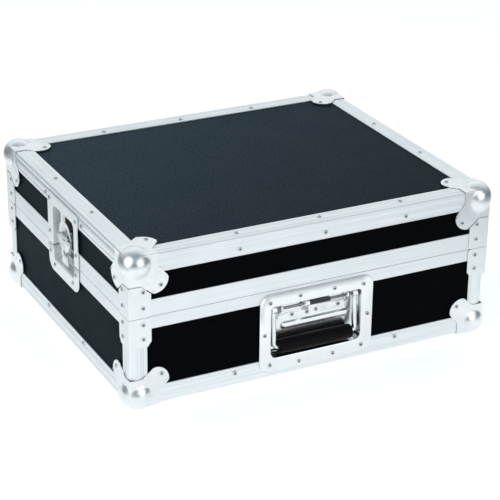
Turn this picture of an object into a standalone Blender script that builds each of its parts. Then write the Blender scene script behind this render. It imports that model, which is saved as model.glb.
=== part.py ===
"""Flight case with a lift-off lid, recessed twist latches and a sprung recessed handle.

Metres, +Z up. The origin is on the ground under the middle of the case, +X runs along the
handle side to the right and +Y runs to the back. The case stands on its ball corners.
"""

import math

import bmesh
import bpy
from mathutils import Matrix, Vector

# Case body, over the outer faces of its edge extrusions
CASE_W = 0.525
CASE_D = 0.4325
CASE_H = 0.208
BALL_PROUD = 0.008
SEAM_UP = 0.1242
SEAM_GAP = 0.0005
GAP = 0.0003

# Laminated panels
PANEL_T = 0.009
PANEL_INSET = 0.0018
PANEL_EDGE_R = 0.0062
SLAB_R = 0.004

# Edge extrusions and upright posts
LEG = 0.0254
WALL = 0.0015
EDGE_R = 0.0025
POST_LEG = 0.0237
POST_R = 0.008
LEG_TIP = 0.0005
GROOVE_AT = (0.0065, 0.0185)
GROOVE_W = 0.0016
GROOVE_DEEP = 0.00035

# Closing profile round the opening, a tongue on the base and a groove in the lid
LID_RIM_H = 0.0228
BASE_RIM_H = 0.0168
RIM_GRIP = 0.010
RIM_INSIDE = 0.0123
RIM_LEG_T = 0.0012
LID_RIM_ROOF = 0.0046
TONGUE_AT = 0.0044
TONGUE_W = 0.002
TONGUE_H = 0.0026
TONGUE_TAPER = 0.0004
GROOVE_PLAY = 0.0005

# Ball corners
BALL_R = 0.0213
BALL_INSET = 0.0133
BALL_WALL = 0.0013
PLATE_OUT = 0.0015
FOLD_R = 0.0012
CORNER_BLOCK = 0.060
LOBE_AT = 0.0337
LOBE_R = 0.0188
PLATE_STOP = 0.011
CORNER_CUT = 0.010
EDGE_STOP = 0.008
NECK = 0.0386
NECK_RUN = 0.0158

# Corner braces at the seam
BRACE_LEG = 0.0289
BRACE_DOWN = 0.0406
BRACE_TAPER = 0.0069
BRACE_UP = 0.0434
BRACE_SHOULDER = 0.0318
BRACE_CORNER_R = 0.005

# Recessed twist latch, in its dish: across, up from the seam, and out of the face
DISH_HALF = 0.053
DISH_TOP = 0.0753
DISH_BOTTOM = -0.0372
DISH_TOP_R = 0.003
DISH_BOTTOM_R = 0.016
TRAY_HALF = 0.038
TRAY_TOP = 0.0598
TRAY_BOTTOM = -0.019
TRAY_R = 0.008
TRAY_FLOOR = -0.012
FLANGE_FACE = 0.0019
SHEET = 0.0014
DRAFT = 0.0025
RIM_SOFT = 0.0007
MOUTH_SOFT = 0.0009
HOLE_ROOM = 0.0005
LATCH_AXIS_UP = 0.026
ROTOR_R = 0.0145
ROTOR_FACE = -0.0026
ROTOR_BACK = -0.0044
CAM_R = 0.005
CAM_THROW = 0.0045
CAM_END = -0.0109
WING_R = 0.0215
WING_T = 0.002
WING_PIN_OUT = -0.0001
WING_PIN_R = 0.0011
KNUCKLE_R = 0.0021
KNUCKLE_HOLE_R = 0.00145
HOOK_T = 0.002
HOOK_MID = -0.0064
HOOK_TILT = 2.8
HOOK_HEAD_HALF = 0.0115
HOOK_HEAD_R = 0.0105
HOOK_HOLE_R = 0.0054
HOOK_STEP = 0.0032
HOOK_END = -0.0365
HOOK_CLAW_T = 0.0025
HOOK_CLAW_DEEP = -0.0013
LIP_HALF = 0.015
LIP_TOP = -0.0065
LIP_NEAR = -0.001
LIP_FAR = -0.003

# Recessed sprung handle: across, up from the underside of the extrusions, and out of the face
HANDLE_X = 0.002
PLATE_W = 0.1675
PLATE_LOW = 0.0093
PLATE_HIGH = 0.1193
PLATE_R = 0.015
BAY_HALF = 0.0666
BAY_LOW = 0.0272
BAY_HIGH = 0.1003
BAY_LOW_R = 0.009
BAY_HIGH_R = 0.0045
BAY_FLOOR = -0.0145
RIB_MID = 0.0045
RIB_HALF = 0.0495
RIB_UP = 0.0618
RIB_R = 0.0042
RIB_PROUD = 0.0018
PIVOT_UP = 0.0925
PIVOT_OUT = -0.007
PIN_R = 0.0022
PIN_HALF = 0.0644
EYE_R = 0.005
EYE_HOLE_R = 0.0026
EYE_W = 0.007
BAIL_HALF = 0.0602
BAIL_R = 0.0034
BAIL_BEND = 0.007
GRIP_UP = 0.0400
GRIP_OUT = -0.003
GRIP_R = 0.0102
GRIP_HALF = 0.0545
GRIP_SWELL = 0.0005
STRAP_LOW = 0.0778
STRAP_HIGH = 0.0865
STRAP_HALF = 0.0505
STRAP_T = 0.0012
LUG_R = 0.0042
LUG_FOOT = 0.0788
LUG_PLACES = (-0.049, -0.012, 0.049)
LUG_WIDTHS = (0.003, 0.008, 0.003)
SPRING_FROM = -0.0068
SPRING_TO = 0.0235
SPRING_MEAN_R = 0.0033
SPRING_WIRE_R = 0.0008
SPRING_CURLS = 12
SPRING_POINTS = 9
SPRING_LEG_DOWN = 0.0115

# Foam lining
FOAM_T = 0.020
FOAM_FLOOR_T = 0.010
POCKET_DEEP = 0.0155

# Heights over the ground
SEAM_Z = BALL_PROUD + SEAM_UP
TOP_Z = BALL_PROUD + CASE_H
PANEL_IN = PANEL_INSET + PANEL_T

PARTS = "flight_case"
CUTTERS = "flight_case_cutters"


def clear_scene():
    for obj in list(bpy.data.objects):
        bpy.data.objects.remove(obj, do_unlink=True)
    for name in (PARTS, CUTTERS):
        collection = bpy.data.collections.get(name)
        if collection:
            bpy.data.collections.remove(collection)
        collection = bpy.data.collections.new(name)
        bpy.context.scene.collection.children.link(collection)


def principled(name, colour, roughness, metallic):
    """A material whose look is one Principled BSDF."""
    material = bpy.data.materials.new(name)
    material.use_nodes = True
    shader = material.node_tree.nodes["Principled BSDF"]
    shader.inputs["Base Color"].default_value = (*colour, 1.0)
    shader.inputs["Roughness"].default_value = roughness
    shader.inputs["Metallic"].default_value = metallic
    material.diffuse_color = (*colour, 1.0)
    return material


def add_part(name, mesh, look, parent=None, place=(0.0, 0.0, 0.0), turn=(0.0, 0.0, 0.0)):
    """Put a named part in the model, with its own material."""
    obj = bpy.data.objects.new(name, mesh)
    bpy.data.collections[PARTS].objects.link(obj)
    if not mesh.materials:
        mesh.materials.append(None)
    obj.material_slots[0].link = "OBJECT"
    obj.material_slots[0].material = principled(name, *look)
    obj.parent = parent
    obj.location = place
    obj.rotation_euler = turn
    return obj


def add_frame(name, place, turn=(0.0, 0.0, 0.0), parent=None):
    """An empty that carries parts."""
    empty = bpy.data.objects.new(name, None)
    empty.empty_display_size = 0.03
    bpy.data.collections[PARTS].objects.link(empty)
    empty.parent = parent
    empty.location = place
    empty.rotation_euler = turn
    return empty


def finish(bm, name, smooth_below=35.0):
    """Turn a bmesh into a mesh with outward faces, smooth where it is round."""
    bmesh.ops.recalc_face_normals(bm, faces=bm.faces)
    mesh = bpy.data.meshes.new(name)
    bm.to_mesh(mesh)
    bm.free()
    mesh.shade_smooth()
    mesh.set_sharp_from_angle(angle=math.radians(smooth_below))
    return mesh


def block_between(low, high):
    """A box between two corners, as a bmesh that can still be changed."""
    bm = bmesh.new()
    bmesh.ops.create_cube(bm, size=1.0)
    bmesh.ops.scale(bm, vec=[high[i] - low[i] for i in range(3)], verts=bm.verts)
    bmesh.ops.translate(bm, vec=[(high[i] + low[i]) / 2 for i in range(3)], verts=bm.verts)
    return bm


def box(name, low, high):
    """A box between two corners, as a mesh."""
    return finish(block_between(low, high), name)


def cylinder(name, radius, start, end, sides=24):
    """A closed cylinder between two points."""
    bm = bmesh.new()
    axis = Vector(end) - Vector(start)
    size = {"radius1": radius, "radius2": radius, "depth": axis.length}
    bmesh.ops.create_cone(bm, cap_ends=True, segments=sides, **size)
    turn = Vector((0, 0, 1)).rotation_difference(axis.normalized()).to_matrix().to_4x4()
    middle = (Vector(start) + Vector(end)) / 2
    bmesh.ops.transform(bm, matrix=Matrix.Translation(middle) @ turn, verts=bm.verts)
    return finish(bm, name)


def ball(name, radius, centre, around, down):
    """A sphere with rings of faces."""
    bm = bmesh.new()
    bmesh.ops.create_uvsphere(bm, u_segments=around, v_segments=down, radius=radius)
    bmesh.ops.translate(bm, vec=centre, verts=bm.verts)
    return finish(bm, name)


def loft(name, sections):
    """A closed body through sections that have the same count of points."""
    bm = bmesh.new()
    rings = [[bm.verts.new(point) for point in section] for section in sections]
    count = len(sections[0])
    for lower, upper in zip(rings, rings[1:]):
        for i in range(count):
            j = (i + 1) % count
            bm.faces.new((lower[i], lower[j], upper[j], upper[i]))
    bm.faces.new(reversed(rings[0]))
    bm.faces.new(rings[-1])
    return finish(bm, name)


def flat(points, height):
    return [(x, y, height) for x, y in points]


def plate(name, points, low, high):
    """A flat outline given thickness along Z."""
    return loft(name, [flat(points, low), flat(points, high)])


def arc(centre, radius, start, end, steps):
    """Points along an arc, angles in degrees."""
    points = []
    for i in range(steps + 1):
        angle = math.radians(start + (end - start) * i / steps)
        points.append((centre[0] + radius * math.cos(angle), centre[1] + radius * math.sin(angle)))
    return points


def rounded(x0, y0, x1, y1, low_r, high_r, steps=4):
    """A rectangle with rounded corners, one radius below and one above."""
    points = arc((x0 + low_r, y0 + low_r), low_r, 180, 270, steps)
    points += arc((x1 - low_r, y0 + low_r), low_r, 270, 360, steps)
    points += arc((x1 - high_r, y1 - high_r), high_r, 0, 90, steps)
    points += arc((x0 + high_r, y1 - high_r), high_r, 90, 180, steps)
    return points


def carve(name, base, steps):
    """Join meshes to a base mesh or take them out of it, in order, as one new mesh."""
    body = bpy.data.objects.new(name, base)
    bpy.data.collections[CUTTERS].objects.link(body)
    tools = []
    for operation, mesh in steps:
        tool = bpy.data.objects.new(name + "_tool", mesh)
        bpy.data.collections[CUTTERS].objects.link(tool)
        change = body.modifiers.new(operation.lower(), "BOOLEAN")
        change.operation = operation
        change.object = tool
        tools.append(tool)
    graph = bpy.context.evaluated_depsgraph_get()
    mesh = bpy.data.meshes.new_from_object(body.evaluated_get(graph))
    mesh.name = name
    for tool in tools + [body]:
        bpy.data.objects.remove(tool, do_unlink=True)
    bm = bmesh.new()
    bm.from_mesh(mesh)
    bmesh.ops.remove_doubles(bm, verts=bm.verts, dist=0.000002)
    bmesh.ops.dissolve_limit(bm, angle_limit=math.radians(0.5), verts=bm.verts, edges=bm.edges)
    bm.to_mesh(mesh)
    bm.free()
    mesh.materials.clear()
    mesh.shade_smooth()
    mesh.set_sharp_from_angle(angle=math.radians(35.0))
    return mesh


def add_cutter(name, mesh, parent=None):
    """A cutter that stays in the file, shown as wire."""
    cutter = bpy.data.objects.new(name, mesh)
    bpy.data.collections[CUTTERS].objects.link(cutter)
    cutter.hide_render = True
    cutter.display_type = "WIRE"
    cutter.parent = parent
    return cutter


def cut(obj, cutter):
    change = obj.modifiers.new("cut by " + cutter.name, "BOOLEAN")
    change.operation = "DIFFERENCE"
    change.object = cutter


LAMINATE = ((0.012, 0.013, 0.015), 0.55, 0.0)
ALUMINIUM = ((0.80, 0.82, 0.84), 0.34, 1.0)
PRESSED_STEEL = ((0.78, 0.80, 0.82), 0.22, 1.0)
POLISHED_STEEL = ((0.82, 0.84, 0.86), 0.10, 1.0)
SPRING_STEEL = ((0.30, 0.32, 0.34), 0.30, 1.0)
RUBBER = ((0.008, 0.008, 0.008), 0.70, 0.0)
FOAM = ((0.02, 0.02, 0.022), 0.95, 0.0)


# Panels

def panel_with_round_edges(name, low, high):
    """A panel that runs to the corners of the case, its two upright outer edges rounded."""
    bm = block_between(low, high)
    outer_y = max(abs(low[1]), abs(high[1])) - 0.0001
    edges = [
        edge for edge in bm.edges
        if all(abs(vert.co.y) > outer_y for vert in edge.verts)
        and abs(edge.verts[0].co.z - edge.verts[1].co.z) > 0.001
    ]
    bmesh.ops.bevel(bm, geom=edges, offset=PANEL_EDGE_R, segments=3, profile=0.5, affect="EDGES")
    return finish(bm, name)


def make_panels(case, lid, cutters):
    """Five panels for the base and five for the lid, butted at the corners."""
    half_w = CASE_W / 2 - PANEL_INSET
    half_d = CASE_D / 2 - PANEL_INSET
    inner_d = half_d - PANEL_T - GAP
    floor_z = BALL_PROUD + PANEL_INSET
    roof_z = TOP_Z - PANEL_INSET
    levels = {
        "base": (floor_z + PANEL_T + GAP, SEAM_Z - SEAM_GAP / 2 - WALL - GAP),
        "lid": (SEAM_Z + SEAM_GAP / 2 + LID_RIM_ROOF + GAP, roof_z - PANEL_T - GAP),
    }
    frames = {"base": case, "lid": lid}
    drop = {"base": 0.0, "lid": SEAM_Z}
    slabs = {"base": ("base_floor_panel", floor_z), "lid": ("lid_top_panel", roof_z - PANEL_T)}
    for half, (low, high) in levels.items():
        low -= drop[half]
        high -= drop[half]
        name, under = slabs[half]
        under -= drop[half]
        outline = rounded(-half_w, -half_d, half_w, half_d, SLAB_R, SLAB_R, 2)
        add_part(name, plate(name, outline, under, under + PANEL_T), LAMINATE, frames[half])
        near = -half_d + PANEL_T
        side = -half_w + PANEL_T
        long_front = panel_with_round_edges(half + "_front", (-half_w, -half_d, low), (half_w, near, high))
        long_back = panel_with_round_edges(half + "_back", (-half_w, -near, low), (half_w, half_d, high))
        short_left = box(half + "_left", (-half_w, -inner_d, low), (side, inner_d, high))
        short_right = box(half + "_right", (-side, -inner_d, low), (half_w, inner_d, high))
        front = add_part(half + "_front_panel", long_front, LAMINATE, frames[half])
        add_part(half + "_back_panel", long_back, LAMINATE, frames[half])
        left = add_part(half + "_left_panel", short_left, LAMINATE, frames[half])
        right = add_part(half + "_right_panel", short_right, LAMINATE, frames[half])
        cut(left, cutters["latch_left"])
        cut(right, cutters["latch_right"])
        if half == "base":
            cut(front, cutters["handle"])


# Edge extrusions

def grooved_leg(radius, length):
    """Distances along a leg and depths of its shallow grooves, between its rounding and its end."""
    points = []
    for at in GROOVE_AT:
        if radius < at and at + GROOVE_W < length:
            points += [(at, 0.0), (at + 0.3 * GROOVE_W, GROOVE_DEEP)]
            points += [(at + 0.7 * GROOVE_W, GROOVE_DEEP), (at + GROOVE_W, 0.0)]
    return points


def angle_profile(leg, radius):
    """The section of an angle extrusion, its outer corner at the origin and its legs on +X and +Y."""
    down_y = [(deep, at) for at, deep in grooved_leg(radius, leg)]
    points = [(0.0, leg - LEG_TIP)] + list(reversed(down_y))
    points += arc((radius, radius), radius, 180, 270, 4)
    points += grooved_leg(radius, leg)
    points += [(leg - LEG_TIP, 0.0), (leg, LEG_TIP), (leg, WALL)]
    if radius > 2 * WALL:
        points += arc((radius, radius), radius - WALL, 270, 180, 4)
    else:
        points.append((WALL, WALL))
    points += [(WALL, leg), (LEG_TIP, leg)]
    return points


def make_extrusions(case, lid, cutters):
    """Four long edges below, four above, and an upright post at each corner of the base."""
    edge = angle_profile(LEG, EDGE_R)
    post = angle_profile(POST_LEG, POST_R)
    half_w = CASE_W / 2
    half_d = CASE_D / 2
    stop = half_d - LEG - GAP
    sides = {
        "front": ((0.0, -half_d), half_w - EDGE_STOP, 0.0),
        "back": ((0.0, half_d), half_w - EDGE_STOP, math.pi),
        "left": ((-half_w, 0.0), stop, -math.pi / 2),
        "right": ((half_w, 0.0), stop, math.pi / 2),
    }
    for side, ((x, y), run, angle) in sides.items():
        below = loft("edge_" + side, [[(at, b, a) for a, b in edge] for at in (-run, run)])
        above = loft("edge_" + side, [[(at, b, -a) for a, b in edge] for at in (-run, run)])
        place = (x, y, BALL_PROUD)
        add_part("base_" + side + "_edge", below, ALUMINIUM, case, place, (0.0, 0.0, angle))
        place = (x, y, TOP_Z - SEAM_Z)
        upper = add_part("lid_" + side + "_edge", above, ALUMINIUM, lid, place, (0.0, 0.0, angle))
        if side in ("left", "right"):
            cut(upper, cutters["latch_" + side])
    bottom = BALL_PROUD + LEG + GAP
    top = SEAM_Z - SEAM_GAP / 2 - BASE_RIM_H - GAP
    upright = loft("post", [flat(post, bottom), flat(post, top)])
    for name, x, y, angle in corners():
        add_part("base_post_" + name, upright, ALUMINIUM, case, (x, y, 0.0), (0.0, 0.0, angle))


def corners():
    """The four upright corners of the case, each with the turn that brings +X and +Y inside."""
    half_w = CASE_W / 2
    half_d = CASE_D / 2
    return (
        ("front_left", -half_w, -half_d, 0.0),
        ("front_right", half_w, -half_d, math.pi / 2),
        ("back_right", half_w, half_d, math.pi),
        ("back_left", -half_w, half_d, -math.pi / 2),
    )


# Closing profile

def rim_sections(profile, end_y, side):
    """A U of closing profile round the front or back half of the case."""
    half_w = CASE_W / 2
    half_d = CASE_D / 2
    stations = []
    for x_sign, at_corner in ((-1, False), (-1, True), (1, True), (1, False)):
        ring = []
        for inset, up in profile:
            y = half_d - inset if at_corner else end_y
            ring.append((x_sign * (half_w - inset), side * y, up))
        stations.append(ring)
    return stations


def make_rims(case, lid):
    lean = SEAM_GAP / 2
    inner_leg = RIM_INSIDE - RIM_LEG_T
    tongue_end = TONGUE_AT + TONGUE_W
    base = [
        (0.0, 0.0), (0.0, -BASE_RIM_H), (WALL, -BASE_RIM_H), (WALL, -WALL), (inner_leg, -WALL),
        (inner_leg, -RIM_GRIP), (RIM_INSIDE, -RIM_GRIP), (RIM_INSIDE, 0.0), (tongue_end, 0.0),
        (tongue_end - TONGUE_TAPER, TONGUE_H), (TONGUE_AT + TONGUE_TAPER, TONGUE_H), (TONGUE_AT, 0.0),
    ]
    groove = TONGUE_H + GROOVE_PLAY
    lid_profile = [
        (0.0, 0.0), (TONGUE_AT - GROOVE_PLAY, 0.0), (TONGUE_AT - GROOVE_PLAY, groove),
        (tongue_end + GROOVE_PLAY, groove), (tongue_end + GROOVE_PLAY, 0.0), (RIM_INSIDE, 0.0),
        (RIM_INSIDE, RIM_GRIP), (inner_leg, RIM_GRIP), (inner_leg, LID_RIM_ROOF),
        (WALL, LID_RIM_ROOF), (WALL, LID_RIM_H), (0.0, LID_RIM_H),
    ]
    end_y = TRAY_HALF + SHEET + 2 * GAP
    for side, name in ((-1, "front"), (1, "back")):
        lower = loft("base_rim", rim_sections([(a, z - lean) for a, z in base], end_y, side))
        upper = loft("lid_rim", rim_sections([(a, z + lean) for a, z in lid_profile], end_y, side))
        add_part("base_" + name + "_closing_profile", lower, ALUMINIUM, case, (0.0, 0.0, SEAM_Z))
        add_part("lid_" + name + "_closing_profile", upper, ALUMINIUM, lid)


# Ball corners

def lobe_outline():
    """One face of a ball corner: necks along two case edges and a round lobe between them."""
    out = -PLATE_OUT
    start = 8.0
    points = [(out, out), (NECK, out), (NECK, NECK_RUN)]
    points += arc((LOBE_AT, LOBE_AT), LOBE_R, -start, 90 + start, 8)
    points += [(NECK_RUN, NECK), (out, NECK)]
    return points


def case_corner():
    """The room for the case itself: a cube whose corner is cut off inside the ball."""
    far = CORNER_BLOCK + 0.01
    bm = block_between((-GAP, -GAP, -GAP), (far, far, far))
    tip = Vector((CORNER_CUT / 3, CORNER_CUT / 3, CORNER_CUT / 3))
    geometry = bm.verts[:] + bm.edges[:] + bm.faces[:]
    bmesh.ops.bisect_plane(bm, geom=geometry, plane_co=tip, plane_no=(1, 1, 1), clear_inner=True)
    bmesh.ops.holes_fill(bm, edges=[edge for edge in bm.edges if edge.is_boundary])
    return finish(bm, "case_corner")


def ball_corner_mesh():
    """A pressed corner: three lobed flanges and a hollow ball, with its faces inside on the case."""
    out = -PLATE_OUT
    bm = block_between((out, out, out), (CORNER_BLOCK, CORNER_BLOCK, CORNER_BLOCK))
    near = out + 0.0001
    folds = [e for e in bm.edges if sum(all(v.co[i] < near for v in e.verts) for i in range(3)) == 2]
    bmesh.ops.bevel(bm, geom=folds, offset=FOLD_R, segments=2, profile=0.5, affect="EDGES")
    block = finish(bm, "corner_block")
    outline = lobe_outline()
    low = 2 * out
    high = -GAP / 2
    lobe_x = loft("lobe_x", [[(d, a, b) for a, b in outline] for d in (low, high)])
    lobe_y = loft("lobe_y", [[(b, d, a) for a, b in outline] for d in (low, high)])
    lobe_z = loft("lobe_z", [[(a, b, d) for a, b in outline] for d in (low, high)])
    lobes = carve("lobes", lobe_x, [("UNION", lobe_y), ("UNION", lobe_z)])
    centre = (BALL_INSET, BALL_INSET, BALL_INSET)
    outer = ball("ball", BALL_R, centre, 24, 12)
    inner = ball("hollow", BALL_R - BALL_WALL, centre, 14, 7)
    blunt = box("blunt", (-0.01, -0.01, -0.01), (PLATE_STOP, PLATE_STOP, PLATE_STOP))
    steps = [("INTERSECT", lobes), ("DIFFERENCE", blunt), ("UNION", outer)]
    steps += [("DIFFERENCE", case_corner()), ("DIFFERENCE", inner)]
    return carve("ball_corner", block, steps)


def make_ball_corners(case, lid):
    mesh = ball_corner_mesh()
    for name, x, y, angle in corners():
        low = (x, y, BALL_PROUD)
        high = (x, y, TOP_Z - SEAM_Z)
        over = (math.pi, 0.0, angle + math.pi / 2)
        add_part("base_ball_corner_" + name, mesh, POLISHED_STEEL, case, low, (0.0, 0.0, angle))
        add_part("lid_ball_corner_" + name, mesh, POLISHED_STEEL, lid, high, over)


# Braces

def brace_mesh(name, outline, low, high):
    """A folded angle plate whose two faces have the same outline, across and up."""
    out = -PLATE_OUT
    section = arc((out + FOLD_R, out + FOLD_R), FOLD_R, 180, 270, 3)
    section += [(BRACE_LEG, out), (BRACE_LEG, -GAP), (-GAP, -GAP), (-GAP, BRACE_LEG), (out, BRACE_LEG)]
    angle = plate(name, section, low, high)
    near = -0.004
    far = 0.002
    face_y = loft(name, [[(a, d, up) for a, up in outline] for d in (near, far)])
    face_x = loft(name, [[(d, a, up) for a, up in outline] for d in (near, far)])
    faces = carve(name, face_y, [("UNION", face_x)])
    return carve(name, angle, [("INTERSECT", faces)])


def make_braces(case, lid):
    lean = SEAM_GAP / 2
    low = -BRACE_DOWN
    shoulder = low + BRACE_TAPER
    past = -0.003
    leg = BRACE_LEG + 0.0001
    r = BRACE_CORNER_R
    lower = [(past, low), (POST_LEG, low), (leg, shoulder)]
    lower += arc((leg - r, -lean - r), r, 0, 90, 3)
    lower += [(past, -lean)]
    upper = [(past, lean)] + arc((leg - r, lean + r), r, 270, 360, 3)
    upper += [(leg, BRACE_SHOULDER), (NECK_RUN - 0.0005, BRACE_UP), (past, BRACE_UP)]
    base_brace = brace_mesh("base_brace", lower, low, -lean)
    plate_mesh = brace_mesh("lid_brace", upper, lean, BRACE_UP)
    # The short post of the lid is behind its brace, and the two are riveted together.
    post_low = LID_RIM_H + lean + GAP
    post_high = CASE_H - SEAM_UP - LEG - GAP
    post = plate("lid_post", angle_profile(POST_LEG, EDGE_R), post_low, post_high)
    link = box("rivet_line", (0.009, -0.0011, post_low + 0.006), (0.012, 0.0006, post_high - 0.016))
    other = box("rivet_line", (-0.0011, 0.009, post_low + 0.006), (0.0006, 0.012, post_high - 0.016))
    lid_brace = carve("lid_brace", plate_mesh, [("UNION", post), ("UNION", link), ("UNION", other)])
    for name, x, y, angle in corners():
        add_part("base_brace_" + name, base_brace, PRESSED_STEEL, case, (x, y, SEAM_Z), (0.0, 0.0, angle))
        add_part("lid_brace_" + name, lid_brace, PRESSED_STEEL, lid, (x, y, 0.0), (0.0, 0.0, angle))


# Pressed dishes

def pressed_dish(name, rim, tray, floor):
    """A flanged dish. Both outlines are (x0, y0, x1, y1, radius below, radius above)."""
    def inset(shape, by):
        x0, y0, x1, y1, low_r, high_r = shape
        shrink = min(by, low_r - 0.001, high_r - 0.001)
        return rounded(x0 + by, y0 + by, x1 - by, y1 - by, low_r - shrink, high_r - shrink)

    back = GAP
    face = FLANGE_FACE
    flange = loft(name, [
        flat(rounded(*rim), back),
        flat(rounded(*rim), face - RIM_SOFT),
        flat(inset(rim, RIM_SOFT), face),
    ])
    bowl = loft(name, [
        flat(inset(tray, DRAFT - SHEET), floor - SHEET),
        flat(inset(tray, -SHEET), face - 0.0005),
    ])
    hollow = loft(name, [
        flat(inset(tray, DRAFT), floor),
        flat(inset(tray, 0.0), face - MOUTH_SOFT),
        flat(inset(tray, -MOUTH_SOFT), face),
        flat(inset(tray, -MOUTH_SOFT), face + 0.001),
    ])
    return carve(name, flange, [("UNION", bowl), ("DIFFERENCE", hollow)])


def tray_cutter(name, tray, floor):
    """The hole that a dish needs in what it is let into."""
    x0, y0, x1, y1 = tray[:4]
    by = SHEET + HOLE_ROOM
    outline = rounded(x0 - by, y0 - by, x1 + by, y1 + by, tray[4] + by, tray[5] + by)
    return plate(name, outline, floor - 0.003, 0.004)


# Twist latches

LATCH_RIM = (-DISH_HALF, DISH_BOTTOM, DISH_HALF, DISH_TOP, DISH_BOTTOM_R, DISH_TOP_R)
LATCH_TRAY = (-TRAY_HALF, TRAY_BOTTOM, TRAY_HALF, TRAY_TOP, TRAY_R, TRAY_R)


def latch_dish_meshes():
    """The dish is pressed in two halves that meet at the seam; the lower has the lip for the hook."""
    whole = pressed_dish("latch_dish", LATCH_RIM, LATCH_TRAY, TRAY_FLOOR)
    lean = SEAM_GAP / 2
    below = box("below", (-0.06, -0.05, -0.03), (0.06, lean, 0.02))
    above = box("above", (-0.06, -lean, -0.03), (0.06, 0.09, 0.02))
    upper = carve("latch_dish", whole.copy(), [("DIFFERENCE", below)])
    soft = 0.0005
    wide = rounded(-LIP_HALF, LIP_FAR, LIP_HALF, LIP_NEAR, 0.0008, 0.0008, 2)
    narrow = rounded(soft - LIP_HALF, LIP_FAR + soft, LIP_HALF - soft, LIP_NEAR - soft, 0.0004, 0.0004, 2)
    levels = [flat(wide, TRAY_FLOOR - SHEET / 2), flat(wide, LIP_TOP - soft), flat(narrow, LIP_TOP)]
    lip = loft("lip", levels)
    lower = carve("latch_keeper", whole, [("DIFFERENCE", above), ("UNION", lip)])
    return upper, lower


def rotor_mesh():
    """The turning disc, its leaning cam behind and the wing's pin in front; its axis is at the origin."""
    disc = loft("rotor", [
        flat(arc((0, 0), ROTOR_R, 0, 348.75, 31), ROTOR_BACK),
        flat(arc((0, 0), ROTOR_R, 0, 348.75, 31), ROTOR_FACE - 0.0004),
        flat(arc((0, 0), ROTOR_R - 0.0004, 0, 348.75, 31), ROTOR_FACE),
    ])
    # The cam leans, so that the hook on it tips outwards below the axis and inwards above it.
    lean = math.tan(math.radians(HOOK_TILT))
    ends = [(0, (z - HOOK_MID) * lean - CAM_THROW, z) for z in (CAM_END, ROTOR_BACK + 0.0008)]
    cam = cylinder("cam", CAM_R, *ends)
    foot = cylinder("foot", 0.004, (0, 0, TRAY_FLOOR + GAP), (0, 0, CAM_END + 0.0002), 16)
    block_half = 0.005
    block_top = 0.0014
    block = loft("block", [
        [(x, -0.003, ROTOR_FACE - 0.0008), (x, 0.003, ROTOR_FACE - 0.0008), (x, 0.003, block_top - 0.001),
         (x, 0.002, block_top), (x, -0.002, block_top), (x, -0.003, block_top - 0.001)]
        for x in (-block_half, block_half)
    ])
    pin = cylinder("pin", WING_PIN_R, (-0.013, 0, WING_PIN_OUT), (0.013, 0, WING_PIN_OUT), 12)
    steps = [("UNION", cam), ("UNION", foot), ("UNION", block), ("UNION", pin)]
    return carve("rotor", disc, steps)


def wing_outline():
    """A half moon with a waist below and a notch for the rotor's block; the hinge is on y = 0."""
    shoulder = 0.0142
    notch = 0.0056
    waist = 0.0035
    sweep = math.degrees(math.asin(waist / WING_R))
    low = 3.0
    right = arc((0, 0), WING_R, -low, -90 + sweep, 9)
    left = [(-x, y) for x, y in reversed(right)]
    dip = (0.0, -WING_R + 0.0042)
    top = [(-shoulder, -0.0004), (-shoulder, -0.0017), (-notch, -0.0017), (-notch, -0.0042)]
    top += [(notch, -0.0042), (notch, -0.0017), (shoulder, -0.0017), (shoulder, -0.0004)]
    return top + right + [dip] + left


def wing_mesh():
    """The folding wing; its hinge line is the local X axis."""
    half = WING_T / 2
    outline = wing_outline()
    body = plate("wing", outline, -half, half)
    knuckles = [
        cylinder("knuckle", KNUCKLE_R, (start, 0, 0), (end, 0, 0), 16)
        for start, end in ((-0.0126, -0.0056), (0.0056, 0.0126))
    ]
    hole = cylinder("hole", KNUCKLE_HOLE_R, (-0.0136, 0, 0), (0.0136, 0, 0), 16)
    steps = [("UNION", knuckles[0]), ("UNION", knuckles[1]), ("DIFFERENCE", hole)]
    return carve("wing", body, steps)


def hook_mesh():
    """The draw hook: a head that the cam turns in, a step outwards, an arm over the seam and a claw.

    The middle of the head's hole is at the origin and the hole runs along the local Z axis.
    """
    t = HOOK_T / 2
    arm = HOOK_STEP + t
    claw_top = HOOK_END + HOOK_CLAW_T
    side = [
        (HOOK_HEAD_R, t), (-0.018, t), (-0.021, arm), (HOOK_END + 0.0008, arm), (HOOK_END, arm - 0.0008),
        (HOOK_END, HOOK_CLAW_DEEP), (claw_top, HOOK_CLAW_DEEP), (claw_top, HOOK_STEP - t),
        (-0.0201, HOOK_STEP - t), (-0.0171, -t), (HOOK_HEAD_R, -t),
    ]
    bent = loft("hook", [[(x, y, z) for y, z in side] for x in (-HOOK_HEAD_HALF, HOOK_HEAD_HALF)])
    right = [(0.0105, HOOK_END - 0.001), (0.0105, -0.0305), (0.008, -0.0275), (0.008, -0.0135)]
    right += arc((0.0, 0.0), HOOK_HEAD_R, -35, 90, 9)
    left = [(-x, y) for x, y in reversed(right[:-1])]
    face = plate("hook_face", right + left, -0.01, 0.01)
    hole = cylinder("hook_hole", HOOK_HOLE_R, (0, 0, -0.01), (0, 0, 0.01))
    return carve("hook", bent, [("INTERSECT", face), ("DIFFERENCE", hole)])


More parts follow.
